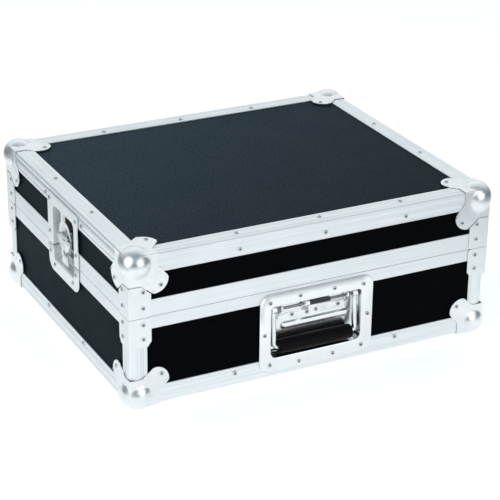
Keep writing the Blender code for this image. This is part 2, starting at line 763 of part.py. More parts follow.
def make_latches(case, lid):
    upper, lower = latch_dish_meshes()
    rotor = rotor_mesh()
    wing = wing_mesh()
    hook = hook_mesh()
    half_w = CASE_W / 2
    for side, sign, angle in (("left", -1, -math.pi / 2), ("right", 1, math.pi / 2)):
        turn = (math.pi / 2, 0.0, angle)
        keeper_seat = add_frame("latch_keeper_seat_" + side, (sign * half_w, 0.0, SEAM_Z), turn, case)
        add_part("latch_keeper_" + side, lower, PRESSED_STEEL, keeper_seat)
        seat = add_frame("latch_seat_" + side, (sign * half_w, 0.0, 0.0), turn, lid)
        add_part("latch_dish_" + side, upper, PRESSED_STEEL, seat)
        axis = add_frame("latch_axis_" + side, (0.0, LATCH_AXIS_UP, 0.0), parent=seat)
        add_part("latch_rotor_" + side, rotor, PRESSED_STEEL, axis)
        add_part("latch_wing_" + side, wing, PRESSED_STEEL, axis, (0.0, 0.0, WING_PIN_OUT))
        place = (0.0, LATCH_AXIS_UP - CAM_THROW, HOOK_MID)
        lean = (-math.radians(HOOK_TILT), 0.0, 0.0)
        add_part("latch_hook_" + side, hook, PRESSED_STEEL, seat, place, lean)


# Handle

HANDLE_RIM = (-PLATE_W / 2, PLATE_LOW, PLATE_W / 2, PLATE_HIGH, PLATE_R, PLATE_R)
HANDLE_TRAY = (-BAY_HALF, BAY_LOW, BAY_HALF, BAY_HIGH, BAY_LOW_R, BAY_HIGH_R)


def handle_dish_mesh():
    """The handle's dish, with the long stiffening rib across its floor."""
    dish = pressed_dish("handle_dish", HANDLE_RIM, HANDLE_TRAY, BAY_FLOOR)
    top = BAY_FLOOR + RIB_PROUD
    left = RIB_MID - RIB_HALF + RIB_R
    right = RIB_MID + RIB_HALF - RIB_R
    outline = arc((right, RIB_UP), RIB_R, -90, 90, 6)
    outline += arc((left, RIB_UP), RIB_R, 90, 270, 6)
    narrow = arc((right, RIB_UP), RIB_R - 0.0012, -90, 90, 6)
    narrow += arc((left, RIB_UP), RIB_R - 0.0012, 90, 270, 6)
    foot = BAY_FLOOR - SHEET / 2
    rib = loft("rib", [flat(outline, foot), flat(outline, BAY_FLOOR + 0.0002), flat(narrow, top)])
    return carve("handle_dish", dish, [("UNION", rib)])


def handle_hinge_mesh():
    """The strap riveted to the dish, its three slanting lugs, and the pin that they hold."""
    back = BAY_FLOOR + GAP
    outline = rounded(-STRAP_HALF, STRAP_LOW, STRAP_HALF, STRAP_HIGH, 0.002, 0.002, 2)
    strap = plate("strap", outline, back, back + STRAP_T)
    steps = []
    for x, width in zip(LUG_PLACES, LUG_WIDTHS):
        side = arc((PIVOT_UP, PIVOT_OUT), LUG_R, 135, -45, 8)
        side += [(STRAP_HIGH, back + 0.0004), (LUG_FOOT, back + 0.0004)]
        lug = loft("lug", [[(x + dx, y, z) for y, z in side] for dx in (-width / 2, width / 2)])
        steps.append(("UNION", lug))
    left_end = (-PIN_HALF, PIVOT_UP, PIVOT_OUT)
    right_end = (PIN_HALF, PIVOT_UP, PIVOT_OUT)
    pin = cylinder("pin", PIN_R, left_end, right_end, 16)
    steps.append(("UNION", pin))
    return carve("handle_hinge", strap, steps)


def tube_mesh(name, points, radius, sides_level):
    """A round tube along points, with closed ends."""
    data = bpy.data.curves.new(name, "CURVE")
    data.dimensions = "3D"
    data.bevel_depth = radius
    data.bevel_resolution = sides_level
    data.use_fill_caps = True
    spline = data.splines.new("POLY")
    spline.points.add(len(points) - 1)
    for knot, point in zip(spline.points, points):
        knot.co = (*point, 1.0)
    curve = bpy.data.objects.new(name, data)
    bpy.data.collections[CUTTERS].objects.link(curve)
    graph = bpy.context.evaluated_depsgraph_get()
    mesh = bpy.data.meshes.new_from_object(curve.evaluated_get(graph))
    bpy.data.objects.remove(curve, do_unlink=True)
    bm = bmesh.new()
    bm.from_mesh(mesh)
    bmesh.ops.remove_doubles(bm, verts=bm.verts, dist=0.00001)
    return finish(bm, name, 50.0)


def bail_mesh():
    """A bent rod with an eye at each end; the pivot's line is the local X axis, and it hangs down."""
    drop = PIVOT_UP - GRIP_UP
    reach = GRIP_OUT - PIVOT_OUT
    slope = Vector((0.0, -drop, reach)).normalized()
    right = [Vector((BAIL_HALF, 0.0, 0.0)) + slope * 0.003]
    bend_centre = Vector((BAIL_HALF - BAIL_BEND, -drop, reach)) - slope * BAIL_BEND
    for i in range(7):
        angle = math.radians(90.0 * i / 6)
        out = Vector((math.cos(angle), 0.0, 0.0)) + slope * math.sin(angle)
        right.append(bend_centre + out * BAIL_BEND)
    left = [Vector((-point.x, point.y, point.z)) for point in reversed(right)]
    rod = tube_mesh("bail", right + left, BAIL_R, 3)
    steps = []
    for sign in (-1, 1):
        inner = sign * (BAIL_HALF - EYE_W / 2)
        outer = sign * (BAIL_HALF + EYE_W / 2)
        steps.append(("UNION", cylinder("eye", EYE_R, (inner, 0, 0), (outer, 0, 0), 20)))
    for sign in (-1, 1):
        inner = sign * (BAIL_HALF - EYE_W)
        outer = sign * (BAIL_HALF + EYE_W)
        steps.append(("DIFFERENCE", cylinder("hole", EYE_HOLE_R, (inner, 0, 0), (outer, 0, 0), 20)))
    return carve("bail", rod, steps)


def grip_mesh():
    """The moulded grip: a sleeve with rounded ends and a slight swell, turned round its rod."""
    bore = BAIL_R + 0.0005
    soft = 0.0026
    end_r = GRIP_R - GRIP_SWELL
    profile = [(-GRIP_HALF, bore)]
    for x, r in arc((soft - GRIP_HALF, end_r - soft), soft, 180, 90, 4):
        profile.append((x, r))
    profile.append((-GRIP_HALF * 0.45, GRIP_R))
    mirrored = [(-x, r) for x, r in reversed(profile)]
    turned = profile + mirrored
    bm = bmesh.new()
    verts = [bm.verts.new((x, 0.0, r)) for x, r in turned]
    count = len(verts)
    edges = [bm.edges.new((verts[i], verts[(i + 1) % count])) for i in range(count)]
    turn = {"cent": (0, 0, 0), "axis": (1, 0, 0), "angle": 2 * math.pi, "steps": 20}
    bmesh.ops.spin(bm, geom=verts + edges, use_duplicate=False, **turn)
    bmesh.ops.remove_doubles(bm, verts=bm.verts, dist=0.00001)
    return finish(bm, "grip")


def spring_points():
    """The wound spring: a straight leg on the dish, then its curls along the pin."""
    run = SPRING_TO - SPRING_FROM
    total = SPRING_CURLS * SPRING_POINTS
    points = []
    r = SPRING_MEAN_R
    start_angle = math.pi
    leg_out = BAY_FLOOR + GAP + STRAP_T + GAP + SPRING_WIRE_R
    points.append(Vector((SPRING_FROM, PIVOT_UP - SPRING_LEG_DOWN, leg_out)))
    points.append(Vector((SPRING_FROM, PIVOT_UP - SPRING_MEAN_R, leg_out)))
    for i in range(total + 1):
        share = i / total
        angle = start_angle - share * SPRING_CURLS * 2 * math.pi
        up = r * math.sin(angle)
        out = r * math.cos(angle)
        points.append(Vector((SPRING_FROM + run * share, PIVOT_UP + up, PIVOT_OUT + out)))
    return points


def spring_least_gap(points):
    """The least clear distance between one curl of the spring and the others."""
    least = 1.0
    apart = SPRING_POINTS // 2 + 1
    for i in range(len(points) - 1):
        middle = (points[i] + points[i + 1]) / 2
        for j in range(i + apart, len(points) - 1):
            a = points[j]
            b = points[j + 1]
            along = b - a
            share = max(0.0, min(1.0, (middle - a).dot(along) / along.length_squared))
            least = min(least, (middle - a - along * share).length)
    return least - 2 * SPRING_WIRE_R


def make_handle(case):
    seat = add_frame("handle_seat", (HANDLE_X, -CASE_D / 2, BALL_PROUD), (math.pi / 2, 0.0, 0.0), case)
    add_part("handle_dish", handle_dish_mesh(), PRESSED_STEEL, seat)
    add_part("handle_hinge", handle_hinge_mesh(), PRESSED_STEEL, seat)
    points = spring_points()
    add_part("handle_spring", tube_mesh("handle_spring", points, SPRING_WIRE_R, 1), SPRING_STEEL, seat)
    print("spring least gap between curls, mm:", round(spring_least_gap(points) * 1000, 3))
    pivot = add_frame("handle_pivot", (0.0, PIVOT_UP, PIVOT_OUT), parent=seat)
    add_part("handle_bail", bail_mesh(), POLISHED_STEEL, pivot)
    place = (0.0, GRIP_UP - PIVOT_UP, GRIP_OUT - PIVOT_OUT)
    add_part("handle_grip", grip_mesh(), RUBBER, pivot, place)


# Foam lining

def make_foam(case, lid, cutters):
    out_w = CASE_W / 2 - PANEL_IN - GAP
    out_d = CASE_D / 2 - PANEL_IN - GAP
    in_w = out_w - FOAM_T
    in_d = out_d - FOAM_T
    floor = BALL_PROUD + PANEL_IN + GAP
    slab = box("bed", (GAP - in_w, GAP - in_d, floor), (in_w - GAP, in_d - GAP, floor + FOAM_FLOOR_T))
    add_part("base_floor_foam", slab, FOAM, case)
    high = SEAM_Z - SEAM_GAP / 2 - RIM_GRIP - GAP
    ring = box("wall", (-out_w, -out_d, floor), (out_w, out_d, high))
    well = box("well", (-in_w, -in_d, floor - 0.01), (in_w, in_d, high + 0.01))
    wall = add_part("base_wall_foam", carve("base_wall_foam", ring, [("DIFFERENCE", well)]), FOAM, case)
    low = SEAM_GAP / 2 + RIM_GRIP + GAP
    high = CASE_H - SEAM_UP - PANEL_IN - GAP
    block = box("lining", (-out_w, -out_d, low), (out_w, out_d, high))
    well = box("well", (-in_w, -in_d, low - 0.01), (in_w, in_d, high - FOAM_FLOOR_T))
    lining = add_part("lid_foam", carve("lid_foam", block, [("DIFFERENCE", well)]), FOAM, lid)
    for side in ("left", "right"):
        cut(wall, cutters["pocket_" + side])
        cut(lining, cutters["pocket_" + side])
    cut(wall, cutters["pocket_handle"])


def make_cutters(case):
    """Holes for the dishes in the panels, and the pockets behind them in the foam."""
    cutters = {}
    room = 0.001
    for side, sign, angle in (("left", -1, -math.pi / 2), ("right", 1, math.pi / 2)):
        turn = (math.pi / 2, 0.0, angle)
        seat = add_frame("latch_cut_" + side, (sign * CASE_W / 2, 0.0, SEAM_Z), turn, case)
        mesh = tray_cutter("latch_hole_" + side, LATCH_TRAY, TRAY_FLOOR)
        cutters["latch_" + side] = add_cutter("latch_hole_" + side, mesh, seat)
        wide = SHEET + room
        low = (-TRAY_HALF - wide, TRAY_BOTTOM - wide, -POCKET_DEEP)
        high = (TRAY_HALF + wide, TRAY_TOP + wide, 0.0)
        pocket = box("latch_pocket_" + side, low, high)
        cutters["pocket_" + side] = add_cutter("latch_pocket_" + side, pocket, seat)
    seat = add_frame("handle_cut", (HANDLE_X, -CASE_D / 2, BALL_PROUD), (math.pi / 2, 0.0, 0.0), case)
    mesh = tray_cutter("handle_hole", HANDLE_TRAY, BAY_FLOOR)
    cutters["handle"] = add_cutter("handle_hole", mesh, seat)
    wide = SHEET + room
    low = (-BAY_HALF - wide, BAY_LOW - wide, -POCKET_DEEP - room)
    high = (BAY_HALF + wide, BAY_HIGH + wide, 0.0)
    cutters["pocket_handle"] = add_cutter("handle_pocket", box("handle_pocket", low, high), seat)
    return cutters


def main():
    clear_scene()
    case = add_frame("base", (0.0, 0.0, 0.0))
    lid = add_frame("lid", (0.0, 0.0, SEAM_Z))
    cutters = make_cutters(case)
    make_panels(case, lid, cutters)
    make_extrusions(case, lid, cutters)
    make_rims(case, lid)
    make_ball_corners(case, lid)
    make_braces(case, lid)
    make_latches(case, lid)
    make_handle(case)
    make_foam(case, lid, cutters)
    bpy.context.view_layer.update()


main()
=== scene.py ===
import math

import bmesh
import bpy
from mathutils import Euler, Matrix, Vector


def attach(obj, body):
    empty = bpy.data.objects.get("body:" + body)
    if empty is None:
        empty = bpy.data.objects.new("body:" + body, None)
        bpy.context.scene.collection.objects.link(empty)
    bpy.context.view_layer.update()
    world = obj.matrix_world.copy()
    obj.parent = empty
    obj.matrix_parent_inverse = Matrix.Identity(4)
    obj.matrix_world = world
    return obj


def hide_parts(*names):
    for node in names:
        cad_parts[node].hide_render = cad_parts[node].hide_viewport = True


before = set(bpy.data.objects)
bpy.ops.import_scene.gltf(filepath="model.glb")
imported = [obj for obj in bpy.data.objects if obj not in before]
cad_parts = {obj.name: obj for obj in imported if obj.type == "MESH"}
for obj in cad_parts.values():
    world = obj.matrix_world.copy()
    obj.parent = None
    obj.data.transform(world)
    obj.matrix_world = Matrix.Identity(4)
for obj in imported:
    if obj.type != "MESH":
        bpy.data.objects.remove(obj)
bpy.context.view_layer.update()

# The case over its extrusions, and the height of its seam
HALF_W = 0.2625
HALF_D = 0.21625
LOW_Z = 0.008
TOP_Z = 0.216
SEAM_Z = 0.1322
SEAM_UP = 0.1242
SEAM_HALF = 0.00025
DISH_SEAM_HALF = 0.0007

# Sheet metal, and how far its edges are softened
PLATE_OUT = 0.0015
FOLD_R = 0.0018
CORNER_SHEET = 0.0012
DISH_SHEET = 0.0014
FLANGE_FACE = 0.0019
SOFT = 0.0003
LEAST_R = 0.0008

# Ball corners
BALL_R = 0.0213
BALL_IN = 0.0133
BALL_BLEND = 0.0016
BALL_TUCK = 0.7
FOLD_STOP = 0.0105
FOLD_FADE = 0.004
NECK = 0.0386
NECK_RUN = 0.0158
LOBE_AT = 0.0337
LOBE_R = 0.0188
LOBE_RIVET = 0.0421

# Braces at the seam, and the short post behind each upper one
BRACE_LEG = 0.0289
BRACE_DOWN = 0.0406
BRACE_TAPER_AT = 0.0237
BRACE_TAPER = 0.0069
BRACE_UP = 0.0434
BRACE_SHOULDER = 0.0318
BRACE_SLANT_AT = 0.0153
BRACE_CORNER_R = 0.005
POST_LEG = 0.0237
POST_R = 0.0025
POST_WALL = 0.0015
POST_LOW = 0.0232
POST_HIGH = 0.0580

# Latch, from the seam: across, up, out of the face
LATCH_RIM = (-0.053, -0.0372, 0.053, 0.0753, 0.016, 0.003)
LATCH_TRAY = (-0.038, -0.019, 0.038, 0.0598, 0.008, 0.008)
LATCH_FLOOR = -0.012
# A thin black sheet under the rotor, painted shadow where the tray lies deep in shade
LATCH_SHADOW_SHEET = (-0.024, 0.004, 0.024, 0.0535, 0.004, 0.004)
LATCH_AXIS_UP = 0.026
LATCH_PLATE_R = 0.0215
ROTOR_R = 0.0145
ROTOR_FACE = -0.0026
ROTOR_BACK = -0.0044
ROTOR_SOFT = 0.0005
CAM_R = 0.005
CAM_THROW = 0.0045
CAM_END = -0.0109
FOOT_R = 0.004
HOOK_MID = -0.0064
HOOK_TILT = 2.8
WING_R = 0.0215
WING_OUT = -0.0001
WING_HALF_T = 0.001
KNUCKLE_W = 0.007
LIP = (-0.015, -0.003, 0.015, -0.001, LEAST_R, LEAST_R)

# Handle, from the underside of the extrusions: across, up, out of the face
HANDLE_X = 0.002
HANDLE_RIM = (-0.08375, 0.0093, 0.08375, 0.1193, 0.015, 0.015)
HANDLE_TRAY = (-0.0666, 0.0272, 0.0666, 0.1003, 0.009, 0.0045)
HANDLE_FLOOR = -0.0145
RIB_MID = 0.0070
RIB_HALF = 0.0525
RIB_UP = 0.0628
RIB_R = 0.0059
RIB_PROUD = 0.0034
STRAP = (-0.0505, 0.0720, 0.0505, 0.0865, 0.002, 0.002)
STRAP_BACK = HANDLE_FLOOR + 0.0003
STRAP_T = 0.0012
LUGS = ((-0.049, 0.003), (-0.012, 0.008), (0.049, 0.003))
LUG_R = 0.0042
LUG_FOOT = (0.0865, 0.0788)
PIVOT_UP = 0.0925
PIVOT_OUT = -0.007
SPRING_FROM = -0.0068
SPRING_TO = 0.0235
SPRING_R = 0.0033
SPRING_WIRE_R = 0.0008
SPRING_TURNS = 12
GRIP_UP = 0.0400
GRIP_OUT = -0.003
BAIL_HALF = 0.0602
BAIL_R = 0.0034
BAIL_BEND = 0.007
EYE_W = 0.007

CORNERS = (
    ("front_left", -1, -1, 0.0),
    ("front_right", 1, -1, 90.0),
    ("back_right", 1, 1, 180.0),
    ("back_left", -1, 1, -90.0),
)

# Rivets: how far they stand off a face, then their heights and places along the edges
RIVET_OUT = 0.0001
LONG_SIDE_RIVETS = (("lid", 0.200, (-0.111, 0.012, 0.132)), ("base", 0.025, (-0.116, 0.124)))
SHORT_SIDE_RIVETS = (("lid", 0.199, (-0.064, 0.064)), ("base", 0.028, (-0.059, 0.067)))
TOP_RIVETS = ((-0.202, (-0.109, 0.010, 0.131)), (0.199, (-0.121, 0.0, 0.116)))
TOP_END_RIVETS = (0.2477, (-0.0634, 0.0634))
BRACE_RIVET = 0.018
BRACE_RIVETS = (("base", 0.115), ("base", 0.095), ("lid", 0.138), ("lid", 0.160))
HANDLE_RIVETS = (
    (0.0253, 0.110), (0.069, 0.1075), (0.0765, 0.0625), (0.0253, 0.0145), (0.0685, 0.0178),
)
STRAP_RIVETS = ((-0.0295, 0.0775), (-0.0072, 0.0765), (0.0062, 0.0775), (0.0395, 0.0785))
LATCH_RIVETS = ((0.046, 0.018), (0.046, 0.066), (0.032, -0.027), (0.045, -0.011))

# Floor, room and camera
FLOOR_R = 14.0
FLOOR_WHITE = (0.93, 0.93, 0.93)
FLOOR_GREY = (0.5, 0.51, 0.52)
FLOOR_GLOW = 0.42
LIT_MIDDLE = (0.41, 0.80, 0.0)
LIT_TURN = -27.3
LIT_REACH = (0.66, 1.75, 1.0)
LIT_EDGE = (0.93, 1.5)
BRIGHT_WAY = (0.36, 0.84, 0.41)
DIM_WALL = (0.28, 0.33, 0.36)
BRIGHT_WALL = (0.94, 0.99, 1.0)
CASE_MIDDLE = Vector((0.0, 0.0, 0.11))
CAMERA_AT = (-1.03507, -2.03489, 1.12817)
CAMERA_RIGHT = (0.8912717, -0.4532874, 0.0128566)
CAMERA_UP = (0.1774898, 0.3747966, 0.9099587)
CAMERA_BACK = (-0.4172914, -0.8087386, 0.4144995)
CAMERA_LENS = 128.87


# Nodes

def new_node(tree, kind, inputs=None, **settings):
    """A node with its settings, each input set to a value or linked to a socket."""
    node = tree.nodes.new(kind)
    for key, value in settings.items():
        setattr(node, key, value)
    for place, value in (inputs or {}).items():
        if isinstance(value, bpy.types.NodeSocket):
            tree.links.new(value, node.inputs[place])
        else:
            node.inputs[place].default_value = value
    return node


def math_node(tree, operation, *values):
    """A Math node on sockets or numbers."""
    inputs = dict(enumerate(values))
    return new_node(tree, "ShaderNodeMath", inputs, operation=operation).outputs[0]


def vector_node(tree, operation, first, second=None, output="Vector"):
    """A Vector Math node; its second value is a vector, or the factor of a scaling."""
    inputs = {0: first}
    if second is not None:
        inputs["Scale" if operation == "SCALE" else 1] = second
    node = new_node(tree, "ShaderNodeVectorMath", inputs, operation=operation)
    return node.outputs[output]


def ramp(tree, value, span, low, high, kind="LINEAR"):
    """A value between the ends of a span brought to low and high."""
    inputs = {"Value": value, "From Min": span[0], "From Max": span[1]}
    inputs.update({"To Min": low, "To Max": high})
    node = new_node(tree, "ShaderNodeMapRange", inputs, interpolation_type=kind)
    return node.outputs["Result"]


def mixed(tree, value, first, second):
    """A colour between two, by a value from 0 to 1; the first may be a socket."""
    first = (*first, 1.0) if isinstance(first, tuple) else first
    inputs = {"Factor": value, "A": first, "B": (*second, 1.0)}
    return new_node(tree, "ShaderNodeMix", inputs, data_type="RGBA").outputs["Result"]


# Finishes

class Finish:
    """A material on one Principled shader, its patterns measured in metres on the piece."""

    def __init__(self, name, colour, roughness, metallic=0.0, specular=0.5):
        self.material = bpy.data.materials.new(name)
        self.material.use_nodes = True
        self.tree = self.material.node_tree
        self.shader = self.tree.nodes["Principled BSDF"]
        self.shader.inputs["Base Color"].default_value = (*colour, 1.0)
        self.shader.inputs["Roughness"].default_value = roughness
        self.shader.inputs["Metallic"].default_value = metallic
        self.shader.inputs["Specular IOR Level"].default_value = specular
        self.material.diffuse_color = (*colour, 1.0)
        self.where = new_node(self.tree, "ShaderNodeTexCoord").outputs["Object"]

    def feed(self, name, socket):
        """One of the shader's inputs taken from a socket."""
        self.tree.links.new(socket, self.shader.inputs[name])

    def noise(self, scale, detail=3.0, stretch=None):
        """Clouds or grain, and lines where the coordinates are stretched."""
        where = self.where
        if stretch:
            inputs = {"Vector": where, "Scale": stretch}
            where = new_node(self.tree, "ShaderNodeMapping", inputs).outputs["Vector"]
        inputs = {"Scale": scale, "Detail": detail, "Vector": where}
        return new_node(self.tree, "ShaderNodeTexNoise", inputs).outputs["Fac"]

    def cells(self, scale, feature="F1"):
        """Cells like pebbles or pores."""
        inputs = {"Scale": scale, "Vector": self.where}
        node = new_node(self.tree, "ShaderNodeTexVoronoi", inputs, feature=feature)
        return node.outputs["Distance"]

    def spread(self, value, low=0.0, high=1.0, start=0.3, stop=0.7):
        """The value between start and stop brought to low and high."""
        return ramp(self.tree, value, (start, stop), low, high)

    def times(self, first, second):
        return math_node(self.tree, "MULTIPLY", first, second)

    def blend(self, value, first, second):
        return mixed(self.tree, value, first, second)

    def relief(self, *layers):
        """Bumps, each a height socket, a strength and a depth in metres."""
        below = None
        for height, strength, depth in layers:
            inputs = {"Strength": strength, "Distance": depth, "Height": height}
            if below:
                inputs["Normal"] = below
            below = new_node(self.tree, "ShaderNodeBump", inputs).outputs["Normal"]
        self.feed("Normal", below)


def black_laminate():
    """Thin black film on plywood, finely pebbled, hazy at a slant, with painted light on top:
    upward faces lighter and bluer, most towards the back left.
    """
    finish = Finish("black_laminate", (0.0012, 0.0017, 0.0021), 0.42, specular=0.01)
    pebble = finish.cells(480.0, "SMOOTH_F1")
    cloud = finish.noise(14.0, 4.0)
    fine = finish.noise(900.0, 3.0)
    speck = finish.spread(finish.noise(360.0, 2.0), 0.62, 1.38)
    film = finish.blend(finish.spread(fine), (0.0005, 0.0008, 0.0011), (0.0026, 0.0038, 0.0048))
    normal = finish.where.node.outputs["Normal"]
    up = new_node(finish.tree, "ShaderNodeSeparateXYZ", {0: normal}).outputs["Z"]
    across = vector_node(finish.tree, "DOT_PRODUCT", finish.where, (-1.0, 0.8, 0.0), "Value")
    # Painted light: faces that point up are coloured lighter and bluer, more so towards the back
    # left, where light and reflection fall on the top.
    painted_top_light = finish.times(finish.spread(up, start=0.7, stop=0.95), speck)
    painted_top_light = finish.times(painted_top_light, finish.spread(across, 0.3, 0.8, -0.3, 0.3))
    finish.feed("Base Color", finish.blend(painted_top_light, film, (0.031, 0.048, 0.060)))
    finish.feed("Roughness", finish.spread(cloud, 0.38, 0.47))
    finish.relief((pebble, 0.55, 0.0003), (fine, 0.3, 0.0001))
    slant = new_node(finish.tree, "ShaderNodeLayerWeight").outputs["Facing"]
    haze = finish.times(finish.spread(slant, 0.0, 0.16, 0.25, 0.62), speck)
    finish.feed("Sheen Weight", haze)
    finish.shader.inputs["Sheen Roughness"].default_value = 0.3
    finish.shader.inputs["Sheen Tint"].default_value = (0.25, 0.75, 1.0, 1.0)
    return finish.material


def anodised(name, along):
    """Satin anodised aluminium with drawing lines along the extrusion."""
    across, lengthwise = 850.0, 5.0
    stretch = [lengthwise if axis in along else across for axis in "xyz"]
    finish = Finish(name, (0.79, 0.825, 0.84), 0.46, 1.0)
    lines = finish.noise(1.0, 4.0, stretch)
    cloud = finish.noise(22.0, 3.0)
    tint = finish.blend(finish.spread(lines), (0.74, 0.775, 0.79), (0.84, 0.872, 0.885))
    finish.feed("Base Color", tint)
    finish.feed("Roughness", finish.spread(cloud, 0.48, 0.58))
    finish.relief((lines, 0.12, 0.00004))
    return finish.material


def zinc_plate(name, dull, bright, low, high):
    """Zinc plated pressed steel: a soft sheen with faint clouds and fine handling marks."""
    finish = Finish(name, bright, (low + high) / 2, 1.0)
    cloud = finish.noise(60.0, 4.0)
    marks = finish.noise(1.0, 3.0, (900.0, 500.0, 70.0))
    finish.feed("Base Color", finish.blend(finish.spread(cloud), dull, bright))
    finish.feed("Roughness", finish.spread(marks, low, high))
    finish.relief((cloud, 0.08, 0.0002), (marks, 0.08, 0.00003))
    return finish.material


def oiled_steel(name, dark, light):
    """Oiled dark steel."""
    finish = Finish(name, light, 0.35, 1.0)
    cloud = finish.noise(500.0, 3.0)
    finish.feed("Base Color", finish.blend(finish.spread(cloud), dark, light))
    finish.feed("Roughness", finish.spread(cloud, 0.25, 0.45))
    return finish.material


def moulded_rubber():
    """Matt black moulding with a fine grain and a little dust on it."""
    finish = Finish("moulded_black_grip", (0.002, 0.002, 0.0022), 0.6, specular=0.08)
    grain = finish.noise(1500.0, 2.0)
    dust = finish.noise(40.0, 4.0)
    clean, dusty = (0.0012, 0.0012, 0.0014), (0.0035, 0.0035, 0.0039)
    finish.feed("Base Color", finish.blend(finish.spread(dust), clean, dusty))
    finish.feed("Roughness", finish.spread(dust, 0.46, 0.6))
    finish.relief((grain, 0.3, 0.0001))
    return finish.material


def cut_foam():
    """Charcoal open-cell foam: small pores, painted darker as the shade inside them, and a cloudy
    cut face.
    """
    finish = Finish("charcoal_foam", (0.018, 0.018, 0.02), 0.95, specular=0.1)
    pores = finish.cells(900.0)
    cloud = finish.noise(35.0, 5.0)
    # Painted shade: the pores are coloured darker than the cell walls.
    walls, pore_shade = (0.03, 0.03, 0.033), (0.008, 0.008, 0.009)
    finish.feed("Base Color", finish.blend(finish.spread(pores, start=0.1), walls, pore_shade))
    finish.feed("Roughness", finish.spread(cloud, 0.88, 0.98))
    finish.relief((pores, 0.8, 0.0006), (cloud, 0.3, 0.001))
    return finish.material


LAMINATE = black_laminate()
EDGE_X = anodised("anodised_edge_x", "x")
EDGE_Y = anodised("anodised_edge_y", "y")
EDGE_Z = anodised("anodised_post", "z")
CLOSING = anodised("anodised_closing_profile", "xy")
PRESSED = zinc_plate("zinc_plated_steel", (0.78, 0.80, 0.815), (0.83, 0.848, 0.858), 0.42, 0.52)
BALL = zinc_plate("bright_plated_steel", (0.75, 0.775, 0.79), (0.80, 0.82, 0.83), 0.28, 0.35)
DISH = zinc_plate("zinc_plated_dish", (0.80, 0.82, 0.83), (0.86, 0.875, 0.883), 0.19, 0.26)
WORKS = zinc_plate("bright_handle_steel", (0.70, 0.715, 0.73), (0.83, 0.84, 0.85), 0.16, 0.27)
# The latch parts' plated steel is greyer than the pressed dishes.
LATCH = zinc_plate("worn_latch_steel", (0.58, 0.61, 0.61), (0.75, 0.775, 0.775), 0.24, 0.36)
RIVET = zinc_plate("rivet_steel", (0.45, 0.465, 0.48), (0.66, 0.68, 0.69), 0.24, 0.34)
SPRING = oiled_steel("oiled_spring_wire", (0.05, 0.052, 0.055), (0.16, 0.165, 0.17))
# The pin is dark oiled steel, painted darker still as the shade under the dish's upper lip.
PIN_PAINTED_SHADE = oiled_steel("oiled_handle_pin", (0.14, 0.143, 0.147), (0.30, 0.305, 0.31))
# The broken stems are near black: real steel, painted darker as the shade inside each rivet's hole.
STEM_PAINTED_SHADE = oiled_steel("broken_rivet_stem", (0.012, 0.012, 0.013), (0.05, 0.05, 0.052))
GRIP = moulded_rubber()
FOAM = cut_foam()


# Making meshes

def arc(centre, radius, start, end, steps):
    """Points along an arc, angles in degrees."""
    x, y = centre
    angles = [math.radians(start + (end - start) * i / steps) for i in range(steps + 1)]
    return [(x + radius * math.cos(angle), y + radius * math.sin(angle)) for angle in angles]


def rounded(shape, by=0.0, steps=12):
    """A rectangle with rounded corners, shrunk by a distance."""
    x0, y0, x1, y1, low_r, high_r = shape
    low = max(low_r - by, LEAST_R)
    high = max(high_r - by, LEAST_R)
    x0, y0, x1, y1 = x0 + by, y0 + by, x1 - by, y1 - by
    points = arc((x0 + low, y0 + low), low, 180, 270, steps)
    points += arc((x1 - low, y0 + low), low, 270, 360, steps)
    points += arc((x1 - high, y1 - high), high, 0, 90, steps)
    points += arc((x0 + high, y1 - high), high, 90, 180, steps)
    return points


def at_height(points, z):
    return [(x, y, z) for x, y in points]


def opened(mesh):
    """A mesh as a bmesh."""
    bm = bmesh.new()
    bm.from_mesh(mesh)
    return bm


def stored(bm, name):
    """A bmesh as a mesh."""
    mesh = bpy.data.meshes.new(name)
    bm.to_mesh(mesh)
    bm.free()
    return mesh


def as_mesh(bm, name, sharp=32.0, outwards=True):
    """A bmesh finished: doubles merged, faces outwards, smooth where it is round."""
    bmesh.ops.remove_doubles(bm, verts=bm.verts, dist=0.000002)
    if outwards:
        bmesh.ops.recalc_face_normals(bm, faces=bm.faces)
    mesh = stored(bm, name)
    mesh.shade_smooth()
    mesh.set_sharp_from_angle(angle=math.radians(sharp))
    return mesh


def add_strips(bm, rings, closed):
    """Strips of faces between rings of points; gives the rows of vertices."""
    rows = [[bm.verts.new(point) for point in ring] for ring in rings]
    count = len(rings[0])
    for lower, upper in zip(rows, rows[1:]):
        for i in range(count if closed else count - 1):
            j = (i + 1) % count
            bm.faces.new((lower[i], lower[j], upper[j], upper[i]))
    return rows


def skin(rings, closed=True, caps=True):
    """A surface through rings of points, with its first and last ring filled if asked."""
    bm = bmesh.new()
    rows = add_strips(bm, rings, closed)
    if caps:
        bm.faces.new(reversed(rows[0]))
        bm.faces.new(rows[-1])
    return bm


def solid(name, rings, sharp=32.0):
    """A closed body through rings of points."""
    return as_mesh(skin(rings), name, sharp)


def slab(name, points, low, high):
    """A flat outline given thickness along Z."""
    return solid(name, [at_height(points, low), at_height(points, high)])


def turned(name, profile, sides=48, axis="X"):
    """A profile of (along, radius) points turned round an axis."""
    angles = [2 * math.pi * i / sides for i in range(sides)]
    rings = []
    for along, radius in profile:
        ring = [(radius * math.cos(angle), radius * math.sin(angle)) for angle in angles]
        rings.append([(along, a, b) if axis == "X" else (a, b, along) for a, b in ring])
    hollow = len(profile) > 2 and profile[0] == profile[-1]
    return as_mesh(skin(rings, caps=not hollow), name)


def mirrored(profile):
    """The other half of a profile or outline, read back over its middle."""
    return [(-x, y) for x, y in reversed(profile)]


def sleeve(name, start, width, bore, radius, chamfer, sides):
    """A short tube along X with its outer edges broken."""
    inner = start + chamfer
    profile = [(start, bore), (start, radius - chamfer), (inner, radius)]
    profile += [(start + width - chamfer, radius), (start + width, radius - chamfer)]
    return turned(name, profile + [(start + width, bore), (start, bore)], sides)


